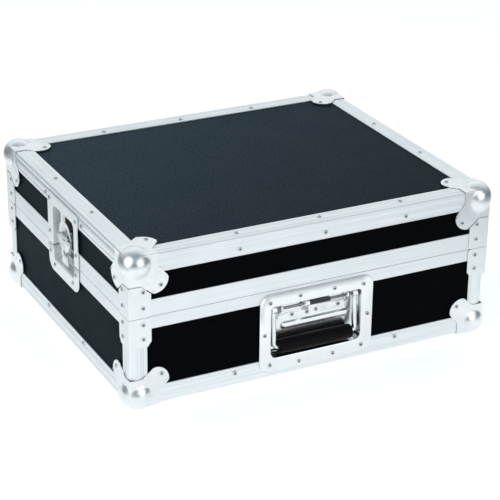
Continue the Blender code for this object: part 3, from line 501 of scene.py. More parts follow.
def new_object(name, data):
    """An object in the scene."""
    made = bpy.data.objects.new(name, data)
    bpy.context.scene.collection.objects.link(made)
    return made


def facing(bm, way):
    """Turn an open surface so that most of it faces a way."""
    bm.normal_update()
    if sum((face.normal.dot(Vector(way)) * face.calc_area() for face in bm.faces), 0.0) < 0:
        bmesh.ops.reverse_faces(bm, faces=bm.faces)


def worked(mesh, *changes):
    """The mesh after a row of modifiers, each a kind and its settings."""
    blank = new_object(mesh.name, mesh)
    for kind, settings in changes:
        change = blank.modifiers.new(kind.lower(), kind)
        for key, value in settings.items():
            setattr(change, key, value)
    return evaluated(blank)


def evaluated(blank):
    """The mesh that an object's modifiers give; the object goes."""
    graph = bpy.context.evaluated_depsgraph_get()
    result = bpy.data.meshes.new_from_object(blank.evaluated_get(graph))
    bpy.data.objects.remove(blank, do_unlink=True)
    return result


def soft_edges(width=SOFT, angle=50.0, segments=2):
    """A bevel for the edges that are sharper than an angle."""
    return ("BEVEL", {
        "width": width, "segments": segments, "limit_method": "ANGLE",
        "angle_limit": math.radians(angle), "harden_normals": True,
    })


def pressed(sheet, thickness, even=True):
    """A surface given sheet thickness behind it and soft edges."""
    wall = ("SOLIDIFY", {"thickness": thickness, "offset": -1.0, "use_even_offset": even})
    return worked(sheet, wall, soft_edges(angle=60.0))


def joined(name, *meshes):
    """Several closed meshes as one."""
    bm = bmesh.new()
    for mesh in meshes:
        bm.from_mesh(mesh)
    result = stored(bm, name)
    result.set_sharp_from_angle(angle=math.radians(32.0))
    return result


def moved(mesh, matrix):
    mesh.transform(matrix)
    return mesh


def add_piece(name, mesh, material, body, nodes=(), place=None):
    """A finished piece on its body, with its place in its mesh."""
    mesh = mesh.copy()
    mesh.name = name
    if place:
        mesh.transform(place)
    mesh.materials.clear()
    mesh.materials.append(material)
    piece = new_object(name, mesh)
    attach(piece, body)
    if nodes:
        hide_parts(*nodes)
    return piece


def refined(node, name, material, body, edge, angle=50.0):
    """A copy of a solid with its edges softened, in its place."""
    bm = opened(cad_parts[node].data)
    bmesh.ops.remove_doubles(bm, verts=bm.verts, dist=0.000001)
    bmesh.ops.dissolve_limit(bm, angle_limit=math.radians(0.3), verts=bm.verts, edges=bm.edges)
    mesh = as_mesh(bm, name, outwards=False)
    return add_piece(name, worked(mesh, soft_edges(edge, angle)), material, body, (node,))


def face_seat(x, y, z, turn):
    """The place of a fitting on a side of the case: across, up, out of the face."""
    return Matrix.Translation((x, y, z)) @ Euler((math.pi / 2, 0.0, turn)).to_matrix().to_4x4()


# Node trees that shape pieces

def new_tree(name, inputs):
    """A geometry tree with named inputs and a material; gives the tree, its start and its end."""
    tree = bpy.data.node_groups.new(name, "GeometryNodeTree")
    shape = ("Geometry", "NodeSocketGeometry", None)
    for label, kind, value in (shape, *inputs, ("Material", "NodeSocketMaterial", None)):
        socket = tree.interface.new_socket(label, in_out="INPUT", socket_type=kind)
        if value is not None:
            socket.default_value = value
    tree.interface.new_socket("Geometry", in_out="OUTPUT", socket_type="NodeSocketGeometry")
    return tree, tree.nodes.new("NodeGroupInput").outputs, tree.nodes.new("NodeGroupOutput")


def finish_tree(tree, source, target, geometry):
    """The end of each tree: instances made real, and the material set."""
    real = new_node(tree, "GeometryNodeRealizeInstances", {0: geometry}).outputs[0]
    inputs = {"Geometry": real, "Material": source["Material"]}
    paint = new_node(tree, "GeometryNodeSetMaterial", inputs)
    tree.links.new(paint.outputs[0], target.inputs[0])
    return tree


def grown(name, data, tree, values, material):
    """The plain mesh that a geometry tree makes of a mesh or curve."""
    blank = new_object(name, data)
    change = blank.modifiers.new(tree.name, "NODES")
    change.node_group = tree
    values = {**values, "Material": material}
    for socket in tree.interface.items_tree:
        if socket.name in values:
            change[socket.identifier] = values[socket.name]
    return evaluated(blank)


def pressing_tree():
    """Pushes a folded sheet out into a ball: the farther of the sheet and the ball, blended."""
    tree, source, target = new_tree("ball_pressing", (
        ("Ball Radius", "NodeSocketFloat", BALL_R),
        ("Ball Centre", "NodeSocketVector", (BALL_IN, BALL_IN, BALL_IN)),
        ("Blend", "NodeSocketFloat", BALL_BLEND),
        ("Fold Stop", "NodeSocketFloat", FOLD_STOP),
    ))
    ball, centre, blend = source["Ball Radius"], source["Ball Centre"], source["Blend"]

    def calc(operation, *values):
        return math_node(tree, operation, *values)

    position = new_node(tree, "GeometryNodeInputPosition").outputs[0]
    spoke = vector_node(tree, "SUBTRACT", position, centre)
    reach = vector_node(tree, "LENGTH", spoke, output="Value")
    apart = new_node(tree, "ShaderNodeSeparateXYZ", {0: position}).outputs
    far = calc("MAXIMUM", calc("MAXIMUM", apart[0], apart[1]), apart[2])
    stop = (source["Fold Stop"], calc("ADD", source["Fold Stop"], FOLD_FADE))
    plane = ramp(tree, far, stop, calc("MULTIPLY", ball, BALL_TUCK), reach, "SMOOTHSTEP")
    difference = calc("SUBTRACT", plane, ball)
    squared = calc("MULTIPLY", difference, difference)
    root = calc("SQRT", calc("ADD", squared, calc("MULTIPLY", blend, blend)))
    radius = calc("MULTIPLY", calc("ADD", calc("ADD", plane, ball), root), 0.5)
    out = vector_node(tree, "SCALE", vector_node(tree, "NORMALIZE", spoke), radius)
    inputs = {"Geometry": source["Geometry"], "Position": vector_node(tree, "ADD", out, centre)}
    move = new_node(tree, "GeometryNodeSetPosition", inputs)
    return finish_tree(tree, source, target, move.outputs[0])


def rivet_tree():
    """One turned shape set on every point of a mesh, its own Z along the way out of the face."""
    tree, source, target = new_tree("blind_rivets", (("Shape", "NodeSocketObject", None),))
    shape = new_node(tree, "GeometryNodeObjectInfo", {"Object": source["Shape"]})
    way = new_node(tree, "GeometryNodeInputNamedAttribute", data_type="FLOAT_VECTOR")
    way.inputs["Name"].default_value = "way_out"
    inputs = {"Vector": way.outputs["Attribute"]}
    align = new_node(tree, "FunctionNodeAlignRotationToVector", inputs, axis="Z")
    copies = new_node(tree, "GeometryNodeInstanceOnPoints", {
        "Points": source["Geometry"], "Instance": shape.outputs["Geometry"],
        "Rotation": align.outputs[0],
    })
    return finish_tree(tree, source, target, copies.outputs[0])


def rod_tree():
    """Round wire or rod along a curve, its ends closed."""
    tree, source, target = new_tree("round_rod", (
        ("Rod Radius", "NodeSocketFloat", 0.003),
        ("Sides", "NodeSocketInt", 16),
    ))
    inputs = {"Resolution": source["Sides"], "Radius": source["Rod Radius"]}
    ring = new_node(tree, "GeometryNodeCurvePrimitiveCircle", inputs)
    sweep = new_node(tree, "GeometryNodeCurveToMesh", {
        "Fill Caps": True, "Curve": source["Geometry"], "Profile Curve": ring.outputs["Curve"],
    })
    return finish_tree(tree, source, target, sweep.outputs["Mesh"])


PRESSING = pressing_tree()
RIVETS = rivet_tree()
ROD = rod_tree()


def rod(name, points, radius, sides, material):
    """Round wire or rod through points."""
    data = bpy.data.curves.new(name, "CURVE")
    data.dimensions = "3D"
    spline = data.splines.new("POLY")
    spline.points.add(len(points) - 1)
    for knot, point in zip(spline.points, points):
        knot.co = (*point, 1.0)
    mesh = grown(name, data, ROD, {"Rod Radius": radius, "Sides": sides}, material)
    return as_mesh(opened(mesh), name, 50.0)


# Ball corners

def eased(before, corner, after, reach, steps=6):
    """A corner of an outline drawn as a short curve."""
    c = Vector(corner)
    a = c + (Vector(before) - c).normalized() * reach
    b = c + (Vector(after) - c).normalized() * reach
    points = []
    for i in range(steps + 1):
        t = i / steps
        points.append(tuple(a * (1 - t) ** 2 + c * 2 * t * (1 - t) + b * t ** 2))
    return points


def lobe_outline():
    """The edge of one flange: the end of the neck, then out and round the lobe."""
    low = -PLATE_OUT
    steps = (0.0, 0.25, 0.5, 0.8, 1.15, 1.5, 1.9, 2.6, 4.0, 6.0, 8.5, 11.0, 13.5)
    half = [(NECK, low + step / 1000) for step in steps]
    turn = arc((LOBE_AT, LOBE_AT), LOBE_R, -8, 45, 18)
    half += eased((NECK, low), (NECK, NECK_RUN), turn[0], 0.0024)
    middle = [((NECK + turn[0][0]) / 2, (NECK_RUN + turn[0][1]) / 2)]
    half += middle + eased(middle[0], turn[0], turn[2], 0.0026) + turn[2:]
    return half + [(y, x) for x, y in reversed(half[:-1])]


def rounded_fold(point):
    """A point of the sharp folded sheet brought onto the rounded one."""
    inner = [max(value, FOLD_R - PLATE_OUT) for value in point]
    away = Vector(point) - Vector(inner)
    if away.length < 1e-9:
        return Vector(point)
    return Vector(inner) + away.normalized() * FOLD_R


def ball_corner_sheet():
    """Three flat lobed flanges folded at the corner, as one sheet of fine faces."""
    edge = lobe_outline()
    low = -PLATE_OUT
    shares = [0.36 * i / 10 for i in range(10)]
    shares += [0.36 + 0.26 * i / 16 for i in range(16)]
    shares += [0.62 + 0.38 * i / 8 for i in range(9)]
    bm = bmesh.new()
    for face in range(3):
        rows = []
        for share in shares:
            flat = [(low + (x - low) * share, low + (y - low) * share, low) for x, y in edge]
            rows.append([rounded_fold(point[-face:] + point[:-face]) for point in flat])
        add_strips(bm, rows, False)
    bmesh.ops.remove_doubles(bm, verts=bm.verts, dist=0.000003)
    bmesh.ops.recalc_face_normals(bm, faces=bm.faces)
    facing(bm, (-1, -1, -1))
    return as_mesh(bm, "ball_corner", 60.0, outwards=False)


def ball_corner_mesh():
    sheet = grown("ball_corner", ball_corner_sheet(), PRESSING, {}, BALL)
    return pressed(sheet, CORNER_SHEET, even=False)


def corner_place(corner, z, over=False):
    """The place of a corner fitting, its own corner on a corner of the case."""
    x_sign, y_sign, turn = corner
    spin = math.radians(turn)
    angles = (math.pi, 0.0, spin + math.pi / 2) if over else (0.0, 0.0, spin)
    spot = Matrix.Translation((x_sign * HALF_W, y_sign * HALF_D, z))
    return spot @ Euler(angles).to_matrix().to_4x4()


def ball_place(half, corner):
    """The place of a ball corner of the base, or of the lid, where it is turned over."""
    over = half == "lid"
    return corner_place(corner, TOP_Z if over else LOW_Z, over)


def make_ball_corners():
    mesh = ball_corner_mesh()
    for name, *corner in CORNERS:
        for half in ("base", "lid"):
            node = half + "_ball_corner_" + name
            place = ball_place(half, corner)
            add_piece("pressed_" + node, mesh, BALL, half, (node,), place)


# Braces

def brace_mesh(low_at, high_at):
    """A folded plate whose lower and upper edges follow two contours."""
    centre = FOLD_R - PLATE_OUT
    outer = [BRACE_LEG - BRACE_CORNER_R * (1 - math.sin(math.radians(a))) for a in range(0, 91, 9)]
    inner = [0.0006, 0.003, 0.008, 0.0125, BRACE_SLANT_AT, 0.0155, 0.0195, BRACE_TAPER_AT]
    both = set(inner + outer + [BRACE_LEG - BRACE_CORNER_R])
    runs = sorted(run for run in both if run > centre)
    columns = [(run, -PLATE_OUT, run) for run in reversed(runs)]
    columns += [(x, y, 0.0) for x, y in arc((centre, centre), FOLD_R, 270, 180, 8)[1:-1]]
    columns += [(-PLATE_OUT, run, run) for run in runs]
    rings = []
    for x, y, run in columns:
        low = low_at(run)
        high = high_at(run)
        rings.append([(x, y, low + (high - low) * i / 6) for i in range(7)])
    bm = skin(rings, closed=False, caps=False)
    facing(bm, (-1, -1, 0))
    sheet = as_mesh(bm, "brace", 60.0, outwards=False)
    return pressed(sheet, CORNER_SHEET)


def round_corner(run):
    """How far a rounded corner of a brace is cut back at a run along its leg."""
    past = max(0.0, run - (BRACE_LEG - BRACE_CORNER_R))
    return BRACE_CORNER_R - math.sqrt(max(0.0, BRACE_CORNER_R ** 2 - past ** 2))


def base_brace_low(run):
    return -BRACE_DOWN + BRACE_TAPER * share_past(run, BRACE_TAPER_AT)


def lid_brace_high(run):
    return BRACE_UP + (BRACE_SHOULDER - BRACE_UP) * share_past(run, BRACE_SLANT_AT)


def share_past(run, start):
    """How far a run is from a start to the end of a brace's leg, from 0 to 1."""
    return max(0.0, run - start) / (BRACE_LEG - start)


def post_section():
    """The section of an upright post, an angle with a round corner."""
    leg, wall = POST_LEG, POST_WALL
    points = [(0.0, leg)] + arc((POST_R, POST_R), POST_R, 180, 270, 8)
    return points + [(leg, 0.0), (leg, wall), (wall, wall), (wall, leg)]


def make_braces():
    lower = brace_mesh(base_brace_low, lambda run: -SEAM_HALF - round_corner(run))
    upper = brace_mesh(lambda run: SEAM_HALF + round_corner(run), lid_brace_high)
    post = worked(slab("post", post_section(), POST_LOW, POST_HIGH), soft_edges(0.0002))
    for name, *corner in CORNERS:
        place = corner_place(corner, SEAM_Z)
        for half, mesh in (("base", lower), ("lid", upper)):
            node = half + "_brace_" + name
            add_piece("folded_" + node, mesh, PRESSED, half, (node,), place)
        add_piece("lid_post_" + name, post, EDGE_Z, "lid", (), place)


# Pressed dishes

def dish_surface(rim, tray, floor, wall_lean=0.0016, mouth_r=0.0016, foot_r=0.0034):
    """A flange, a rounded mouth, a leaning wall and a rounded foot, as rings towards the middle."""
    face = FLANGE_FACE
    rings = [at_height(rounded(rim), face)]
    for i in range(7):
        angle = math.radians(15 * i)
        by = -mouth_r + mouth_r * math.sin(angle)
        rings.append(at_height(rounded(tray, by), face - mouth_r * (1 - math.cos(angle))))
    for i in range(9):
        angle = math.radians(90 * i / 8)
        by = wall_lean + foot_r * (1 - math.cos(angle))
        rings.append(at_height(rounded(tray, by), floor + foot_r * (1 - math.sin(angle))))
    bm = skin(rings, caps=False)
    bm.faces.new(bm.verts[:][-len(rings[0]):])
    facing(bm, (0, 0, 1))
    return bm


def dish_half(surface, keep_above):
    """The part of a dish above or below the seam."""
    bm = surface.copy()
    edge = DISH_SEAM_HALF if keep_above else -DISH_SEAM_HALF
    geometry = bm.verts[:] + bm.edges[:] + bm.faces[:]
    sides = {"clear_inner": keep_above, "clear_outer": not keep_above}
    bmesh.ops.bisect_plane(bm, geom=geometry, plane_co=(0, edge, 0), plane_no=(0, 1, 0), **sides)
    return as_mesh(bm, "dish_half", 60.0, outwards=False)


def handle_rib_mesh():
    """A long rib pressed up out of the handle dish's floor, steep above and slanting below."""
    def oval(by, lift, z):
        r = RIB_R - by
        right = arc((RIB_MID + RIB_HALF - RIB_R, RIB_UP + lift), r, -90, 90, 16)
        left = arc((RIB_MID + RIB_R - RIB_HALF, RIB_UP + lift), r, 90, 270, 16)
        return at_height(right + left, z)
    rings = [oval(0.0, 0.0, HANDLE_FLOOR - 0.0004), oval(0.0, 0.0, HANDLE_FLOOR + 0.0001)]
    for by, lift, rise in ((0.0030, 0.0012, 0.92), (0.0033, 0.0013, 0.98), (0.0037, 0.0013, 1.0)):
        rings.append(oval(by, lift, HANDLE_FLOOR + RIB_PROUD * rise))
    return solid("rib", rings, 16.0)


# Twist latches

def latch_rotor_mesh():
    """The disc with the block and pin that carry the wing, and its leaning cam and foot."""
    disc = [(ROTOR_BACK, 0.0001), (ROTOR_BACK, ROTOR_R - SOFT), (ROTOR_BACK + SOFT, ROTOR_R)]
    for degrees in range(0, 91, 18):
        angle = math.radians(degrees)
        along = ROTOR_FACE - ROTOR_SOFT + ROTOR_SOFT * math.sin(angle)
        disc.append((along, ROTOR_R - ROTOR_SOFT + ROTOR_SOFT * math.cos(angle)))
    disc += [(ROTOR_FACE, ROTOR_R - 0.0022), (ROTOR_FACE - SOFT, ROTOR_R - 0.0026)]
    disc.append((ROTOR_FACE - SOFT, 0.0001))
    half, top_r = 0.003, 0.0015
    side = [(-half, ROTOR_FACE - 0.0006), (half, ROTOR_FACE - 0.0006), (half, 0.0002)]
    side += arc((top_r, 0.0), top_r, 0, 90, 5)[1:] + arc((-top_r, 0.0), top_r, 90, 180, 5)
    side.append((-half, 0.0002))
    block = solid("block", [[(x, y, z) for y, z in side] for x in (-0.005, 0.005)])
    pin = [(-0.0132, 0.0001), (-0.0132, 0.0007), (-0.0129, 0.0011)]
    pin += mirrored(pin)
    pin = moved(turned("pin", pin, 24), Matrix.Translation((0, 0, WING_OUT)))
    low, high = CAM_END - HOOK_MID, ROTOR_BACK - HOOK_MID + 0.0006
    cam = worked(slab("cam", arc((0, 0), CAM_R, 0, 352.5, 47), low, high), soft_edges())
    tilt = Matrix.Rotation(-math.radians(HOOK_TILT), 4, "X")
    cam = moved(cam, Matrix.Translation((0, -CAM_THROW, HOOK_MID)) @ tilt)
    foot = slab("foot", arc((0, 0), FOOT_R, 0, 350, 35), LATCH_FLOOR + 0.0008, CAM_END + 0.0002)
    disc = turned("disc", disc, 72, "Z")
    return joined("latch_rotor", disc, worked(block, soft_edges()), pin, cam, foot)


def latch_wing_mesh():
    """The half-moon wing, waisted below, with the two knuckles round its pin."""
    waist = math.degrees(math.asin(0.0035 / WING_R))
    right = arc((0, 0), WING_R, -3, -90 + waist + 4, 36)
    dip = [(x, rise - WING_R) for x, rise in ((0.0030, 0.0010), (0.0022, 0.0027), (0.0011, 0.0039))]
    left = [(-x, y) for x, y in reversed(right + dip)]
    top = [(-0.0142, -0.0006), (-0.0142, -0.0017), (-0.0056, -0.0017), (-0.0056, -0.0042)]
    outline = top + mirrored(top) + right + dip + [(0.0, 0.0042 - WING_R)] + left
    wing = slab("wing", outline, -WING_HALF_T, WING_HALF_T)
    pieces = [worked(wing, soft_edges(0.0004, 40.0, 3))]
    for start in (-0.0126, 0.0056):
        pieces.append(sleeve("knuckle", start, KNUCKLE_W, 0.00145, 0.0022, SOFT, 32))
    return joined("latch_wing", *pieces)


def latch_plate_mesh():
    """The round dished plate behind the wing, turned with the rotor, with a rolled rim."""
    inner = ROTOR_R - 0.001
    rim = LATCH_PLATE_R
    profile = [
        (-0.0030, inner), (-0.0030, inner + 0.0003), (-0.0019, inner + 0.0017),
        (-0.0019, rim - 0.0004), (-0.0017, rim), (-0.0014, rim), (-0.00125, rim - 0.0004),
        (-0.00125, rim - 0.0010), (-0.0014, rim - 0.0016), (-0.0014, inner + 0.0020),
        (-0.0024, inner + 0.0006), (-0.0024, inner), (-0.0030, inner),
    ]
    return turned("latch_plate", profile, 96, "Z")


def latch_shadow_sheet_mesh():
    """Thin black sheet on the dish's floor under the rotor: painted shadow for the deep shade
    beneath the disc.
    """
    shape = rounded(LATCH_SHADOW_SHEET, 0.0, 6)
    shadow_sheet = slab("latch_backing", shape, LATCH_FLOOR - 0.0002, LATCH_FLOOR + 0.0005)
    return worked(shadow_sheet, soft_edges(0.0002))


def keeper_lip_mesh():
    """The lip of the keeper that the hook pulls on."""
    levels = ((0.0, LATCH_FLOOR - 0.0007), (0.0, -0.0070), (0.0003, -0.0066), (0.0006, -0.0065))
    return solid("keeper_lip", [at_height(rounded(LIP, by, 4), z) for by, z in levels])


def latch_seat(sign):
    return face_seat(sign * HALF_W, 0.0, SEAM_Z, sign * math.pi / 2)


def make_latches():
    surface = dish_surface(LATCH_RIM, LATCH_TRAY, LATCH_FLOOR)
    dish = pressed(dish_half(surface, True), DISH_SHEET)
    keeper = pressed(dish_half(surface, False), DISH_SHEET)
    surface.free()
    keeper = joined("keeper", keeper, keeper_lip_mesh())
    rotor = latch_rotor_mesh()
    wing = latch_wing_mesh()
    plate = latch_plate_mesh()
    shadow_sheet = latch_shadow_sheet_mesh()
    steel = "pressed_steel"
    for side, sign in (("left", -1), ("right", 1)):
        seat = latch_seat(sign)
        axis = seat @ Matrix.Translation((0.0, LATCH_AXIS_UP, 0.0))
        hinge = seat @ Matrix.Translation((0.0, LATCH_AXIS_UP, WING_OUT))
        turning = "latch_%s_rotor" % side
        folding = "latch_%s_wing" % side
        for name, mesh, finish, body, slot, nodes, place in (
            ("pressed_latch_dish_", dish, PRESSED, "lid", steel, ("latch_dish_",), seat),
            ("pressed_latch_keeper_", keeper, PRESSED, "base", steel, ("latch_keeper_",), seat),
            # Black sheet of painted shadow on the dish's floor under the rotor
            ("black_latch_backing_", shadow_sheet, GRIP, "lid", "grip_rubber", (), seat),
            ("round_latch_plate_", plate, LATCH, turning, steel, (), axis),
            ("turned_latch_rotor_", rotor, LATCH, turning, steel, ("latch_rotor_",), axis),
            ("folding_latch_wing_", wing, LATCH, folding, steel, ("latch_wing_",), hinge),
        ):
            add_piece(name + side, mesh, finish, body, [node + side for node in nodes], place)
        hook = "latch_hook_" + side
        refined(hook, "bent_" + hook, LATCH, "latch_%s_hook" % side, 0.00025)


# Sprung handle

def make_handle_dish(seat):
    surface = dish_surface(HANDLE_RIM, HANDLE_TRAY, HANDLE_FLOOR, 0.0018, 0.0018, 0.0036)
    dish = pressed(as_mesh(surface, "handle_dish", 60.0, outwards=False), DISH_SHEET)
    mesh = joined("handle_dish", dish, handle_rib_mesh())
    add_piece("pressed_handle_dish", mesh, DISH, "base", ("handle_dish",), seat)


def make_handle_hinge(seat):
    """The strap, three slanting lugs and the pin."""
    strap = slab("strap", rounded(STRAP, 0.0, 6), STRAP_BACK, STRAP_BACK + STRAP_T)
    pieces = [worked(strap, soft_edges())]
    for x, width in LUGS:
        side = arc((PIVOT_UP, PIVOT_OUT), LUG_R, 135, -45, 20)
        side += [(up, STRAP_BACK + 0.0004) for up in LUG_FOOT]
        lug = solid("lug", [[(x + dx, y, z) for y, z in side] for dx in (-width / 2, width / 2)])
        pieces.append(worked(lug, soft_edges()))
    mesh = joined("handle_hinge", *pieces)
    add_piece("riveted_handle_hinge", mesh, WORKS, "base", ("handle_hinge",), seat)
    pin = [(-0.0644, 0.0001), (-0.0644, 0.0011), (-0.0641, 0.0015), (-0.0636, 0.0017)]
    mesh = turned("handle_pin", pin + mirrored(pin), 32)
    place = seat @ Matrix.Translation((0.0, PIVOT_UP, PIVOT_OUT))
    # The pin's dark finish is partly painted shade from the dish's upper lip.
    add_piece("oiled_handle_pin", mesh, PIN_PAINTED_SHADE, "base", (), place)


def make_handle_spring(seat):
    """The wound spring on the pin, its lower leg on the strap."""
    leg_out = STRAP_BACK + STRAP_T + 0.0003 + SPRING_WIRE_R
    points = [(SPRING_FROM, PIVOT_UP - down, leg_out) for down in (0.0115, 0.0075, SPRING_R)]
    steps = SPRING_TURNS * 20
    for i in range(steps + 1):
        share = i / steps
        angle = math.pi * (1 - 2 * SPRING_TURNS * share)
        across = SPRING_FROM + (SPRING_TO - SPRING_FROM) * share
        up = PIVOT_UP + SPRING_R * math.sin(angle)
        points.append((across, up, PIVOT_OUT + SPRING_R * math.cos(angle)))
    mesh = rod("handle_spring", points, SPRING_WIRE_R, 10, SPRING)
    add_piece("wound_handle_spring", mesh, SPRING, "base", ("handle_spring",), seat)


def make_bail(seat):
    """The bent rod with an eye at each end."""
    drop = PIVOT_UP - GRIP_UP
    reach = GRIP_OUT - PIVOT_OUT
    slope = Vector((0.0, -drop, reach)).normalized()
    right = [Vector((BAIL_HALF, 0.0, 0.0)) + slope * step for step in (0.003, 0.012, 0.024)]
    middle = Vector((BAIL_HALF - BAIL_BEND, -drop, reach)) - slope * BAIL_BEND
    for i in range(13):
        angle = math.radians(7.5 * i)
        across = Vector((math.cos(angle), 0.0, 0.0)) * BAIL_BEND
        right.append(middle + across + slope * math.sin(angle) * BAIL_BEND)
    left = [Vector((-point.x, point.y, point.z)) for point in reversed(right)]
    pieces = [rod("bail", right + left, BAIL_R, 24, WORKS)]
    for sign in (-1, 1):
        low = sign * BAIL_HALF - EYE_W / 2
        pieces.append(sleeve("eye", low, EYE_W, 0.0020, 0.0050, 0.0004, 40))
    mesh = joined("handle_bail", *pieces)
    place = seat @ Matrix.Translation((0.0, PIVOT_UP, PIVOT_OUT))
    add_piece("bent_handle_bail", mesh, WORKS, "handle", ("handle_bail",), place)


def make_grip(seat):
    """The moulded grip, fuller in the middle, with a bead at each end."""
    profile = [
        (-0.0545, 0.0038), (-0.0545, 0.0064), (-0.0541, 0.0080), (-0.0532, 0.0090),
        (-0.0519, 0.00965), (-0.0508, 0.0097), (-0.0498, 0.0094), (-0.0486, 0.0094),
        (-0.0476, 0.00972), (-0.030, 0.01005), (-0.012, 0.0102),
    ]
    profile += mirrored(profile)
    mesh = turned("handle_grip", profile + profile[:1], 64)
    place = seat @ Matrix.Translation((0.0, GRIP_UP, GRIP_OUT))
    add_piece("moulded_handle_grip", mesh, GRIP, "handle", ("handle_grip",), place)


def make_handle():
    seat = face_seat(HANDLE_X, -HALF_D, LOW_Z, 0.0)
    make_handle_dish(seat)
    make_handle_hinge(seat)
    make_handle_spring(seat)
    make_bail(seat)
    make_grip(seat)


# Extrusions, panels and foam

def make_shell():
    """Extrusions with softened edges, and the laminate on the panels, which keep their solids."""
    for half, flat_panel in (("base", "base_floor_panel"), ("lid", "lid_top_panel")):
        for side in ("front", "back", "left", "right"):
            node = "%s_%s_edge" % (half, side)
            finish = EDGE_X if side in ("front", "back") else EDGE_Y
            refined(node, "drawn_" + node, finish, half, 0.0002)
            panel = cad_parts["%s_%s_panel" % (half, side)]
            panel.material_slots[0].material = LAMINATE
        for side in ("front", "back"):
            node = "%s_%s_closing_profile" % (half, side)
            refined(node, "drawn_" + node, CLOSING, half, 0.00018)
        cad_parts[flat_panel].material_slots[0].material = LAMINATE
    for corner in CORNERS:
        node = "base_post_" + corner[0]
        refined(node, "drawn_" + node, EDGE_Z, "base", 0.0002)


def make_foam():
    """Foam slabs with their cut edges a little worn."""
    for node in ("base_floor_foam", "base_wall_foam", "lid_foam"):
        piece = refined(node, "cut_" + node, FOAM, node.split("_")[0], 0.0012, 60.0)


# Rivets

def rivet_places():
    """Where each body is riveted: a place and the way out of the face, in metres."""
    rows = {"base": [], "lid": []}
    top = TOP_Z + RIVET_OUT
    for y_sign in (-1, 1):
        side = y_sign * (HALF_D + RIVET_OUT)
        for half, z, row in LONG_SIDE_RIVETS:
            rows[half] += [((x, side, z), (0, y_sign, 0)) for x in row]
    for y, row in TOP_RIVETS:
        rows["lid"] += [((x, y, top), (0, 0, 1)) for x in row]
    for x_sign in (-1, 1):
        side = x_sign * (HALF_W + RIVET_OUT)
        x, row = TOP_END_RIVETS
        rows["lid"] += [((x_sign * x, y, top), (0, 0, 1)) for y in row]
        for half, z, row in SHORT_SIDE_RIVETS:
            rows[half] += [((side, y, z), (x_sign, 0, 0)) for y in row]
    for name, *corner in CORNERS:
        for half, faces in (("base", 2), ("lid", 3)):
            place = ball_place(half, corner)
            for axis in range(faces):
                point = [LOBE_RIVET] * 3
                point[axis] = -PLATE_OUT
                way = [0, 0, 0]
                way[axis] = -1
                rows[half].append(seated(place, point, way))
        seam = corner_place(corner, SEAM_Z)
        for half, up in BRACE_RIVETS:
            up -= SEAM_UP
            rows[half].append(seated(seam, (BRACE_RIVET, -PLATE_OUT, up), (0, -1, 0)))
            rows[half].append(seated(seam, (-PLATE_OUT, BRACE_RIVET, up), (-1, 0, 0)))
    seat = face_seat(HANDLE_X, -HALF_D, LOW_Z, 0.0)
    spots = [(sign * x, up, FLANGE_FACE) for x, up in HANDLE_RIVETS for sign in (-1, 1)]
    spots += [(x, up, HANDLE_FLOOR + 0.0015) for x, up in STRAP_RIVETS]
    rows["base"] += [(tuple(seat @ Vector(spot)), (0, -1, 0)) for spot in spots]
    for sign in (-1, 1):
        seat = latch_seat(sign)
        for x, up in LATCH_RIVETS:
            for mirror in (-1, 1):
                spot = tuple(seat @ Vector((mirror * x, up, FLANGE_FACE)))
                rows["lid" if up > 0 else "base"].append((spot, (sign, 0, 0)))
    return rows


def seated(place, point, way):
    """A point and a way of a fitting, brought to its place on the case."""
    return tuple(place @ Vector(point)), tuple(place.to_3x3() @ Vector(way))


def rivet_shapes():
    """A domed head, undercut at its rim and open in the middle, and the broken stem in its hole."""
    head = [
        (-0.0002, 0.0001), (-0.0002, 0.0024), (0.0002, 0.0024), (0.00028, 0.0028),
        (0.00042, 0.0029), (0.0006, 0.00282), (0.00088, 0.0025), (0.0011, 0.0020),
        (0.0012, 0.00156), (0.0011, 0.0014), (0.0002, 0.00133), (0.0002, 0.0001),
    ]
    stem = [
        (0.0, 0.0001), (0.0, 0.0011), (0.00042, 0.00106), (0.0005, 0.0007),
        (0.00036, 0.0003), (0.0004, 0.0001),
    ]
    return turned("rivet_head", head, 24, "Z"), turned("rivet_stem", stem, 16, "Z")


def make_rivets():
    head, stem = (new_object(mesh.name, mesh) for mesh in rivet_shapes())
    for body, places in rivet_places().items():
        points = bpy.data.meshes.new("rivet_points")
        points.from_pydata([point for point, way in places], [], [])
        ways = points.attributes.new("way_out", "FLOAT_VECTOR", "POINT")
        for i, (point, way) in enumerate(places):
            ways.data[i].vector = way
        # The stems' near-black finish is partly painted shade inside the rivet holes.
        for kind, shape, finish in (("blind_rivets_", head, RIVET), ("rivet_stems_", stem, STEM_PAINTED_SHADE)):
            name = kind + body
            bm = opened(grown(name, points.copy(), RIVETS, {"Shape": shape}, finish))
            add_piece(name, as_mesh(bm, name, 40.0), finish, body)
    bpy.data.objects.remove(head)
    bpy.data.objects.remove(stem)


# Room, light and camera

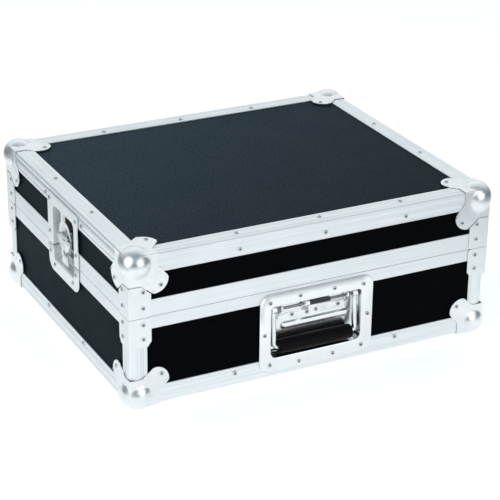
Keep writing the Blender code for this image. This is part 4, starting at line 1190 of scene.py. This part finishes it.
def make_floor():
    """A wide pale floor, lit a little from inside round the case and greyer far from it."""
    bm = bmesh.new()
    bmesh.ops.create_circle(bm, cap_ends=True, segments=96, radius=FLOOR_R)
    mesh = stored(bm, "studio_floor")
    finish = Finish("studio_floor", FLOOR_WHITE, 0.9, specular=0.0)
    place = new_node(finish.tree, "ShaderNodeMapping", vector_type="TEXTURE", inputs={
        "Vector": finish.where, "Location": LIT_MIDDLE, "Scale": LIT_REACH,
        "Rotation": (0.0, 0.0, math.radians(LIT_TURN)),
    })
    away = vector_node(finish.tree, "LENGTH", place.outputs["Vector"], output="Value")
    far = finish.spread(away, 0.0, 1.0, *LIT_EDGE)
    finish.feed("Base Color", finish.blend(far, FLOOR_WHITE, FLOOR_GREY))
    finish.shader.inputs["Emission Color"].default_value = (1.0, 1.0, 1.0, 1.0)
    finish.feed("Emission Strength", finish.spread(away, FLOOR_GLOW, 0.0, *LIT_EDGE))
    mesh.materials.append(finish.material)
    floor = new_object("studio_floor", mesh)


def make_room():
    """A room with a bright wall behind the case and dim elsewhere."""
    world = bpy.data.worlds.new("studio")
    bpy.context.scene.world = world
    world.use_nodes = True
    tree = world.node_tree
    where = new_node(tree, "ShaderNodeTexCoord").outputs["Generated"]
    side = vector_node(tree, "DOT_PRODUCT", where, BRIGHT_WAY, "Value")
    level = ramp(tree, side, (0.2, 0.95), 0.0, 1.0, "SMOOTHSTEP")
    height = new_node(tree, "ShaderNodeSeparateXYZ", {"Vector": where}).outputs["Z"]
    lit = math_node(tree, "MAXIMUM", ramp(tree, height, (0.0, 0.5), 0.4, 1.15), level)
    background = tree.nodes["Background"]
    tree.links.new(mixed(tree, level, DIM_WALL, BRIGHT_WALL), background.inputs["Color"])
    tree.links.new(lit, background.inputs["Strength"])


def add_softbox(name, direction, distance, size, power):
    """A round soft light that looks at the middle of the case."""
    data = bpy.data.lights.new(name, "AREA")
    data.shape = "ELLIPSE"
    data.size, data.size_y = size
    data.energy = power
    lamp = new_object(name, data)
    lamp.location = Vector(direction).normalized() * distance + CASE_MIDDLE
    lamp.rotation_euler = (CASE_MIDDLE - lamp.location).to_track_quat("-Z", "Y").to_euler()


def make_camera():
    data = bpy.data.cameras.new("camera")
    data.lens = CAMERA_LENS
    data.sensor_width = 36.0
    camera = new_object("camera", data)
    turn = Matrix((CAMERA_RIGHT, CAMERA_UP, CAMERA_BACK)).transposed().to_4x4()
    camera.matrix_world = Matrix.Translation(CAMERA_AT) @ turn
    bpy.context.scene.camera = camera


make_shell()
make_ball_corners()
make_braces()
make_latches()
make_handle()
make_foam()
make_rivets()
make_floor()
make_room()
add_softbox("left_softbox", (-0.838, -0.359, 0.411), 2.4, (2.1, 2.3), 24.0)
add_softbox("front_softbox", (0.247, -0.927, 0.30), 2.6, (2.2, 2.1), 17.0)
make_camera()
bpy.context.scene.view_settings.view_transform = "Standard"
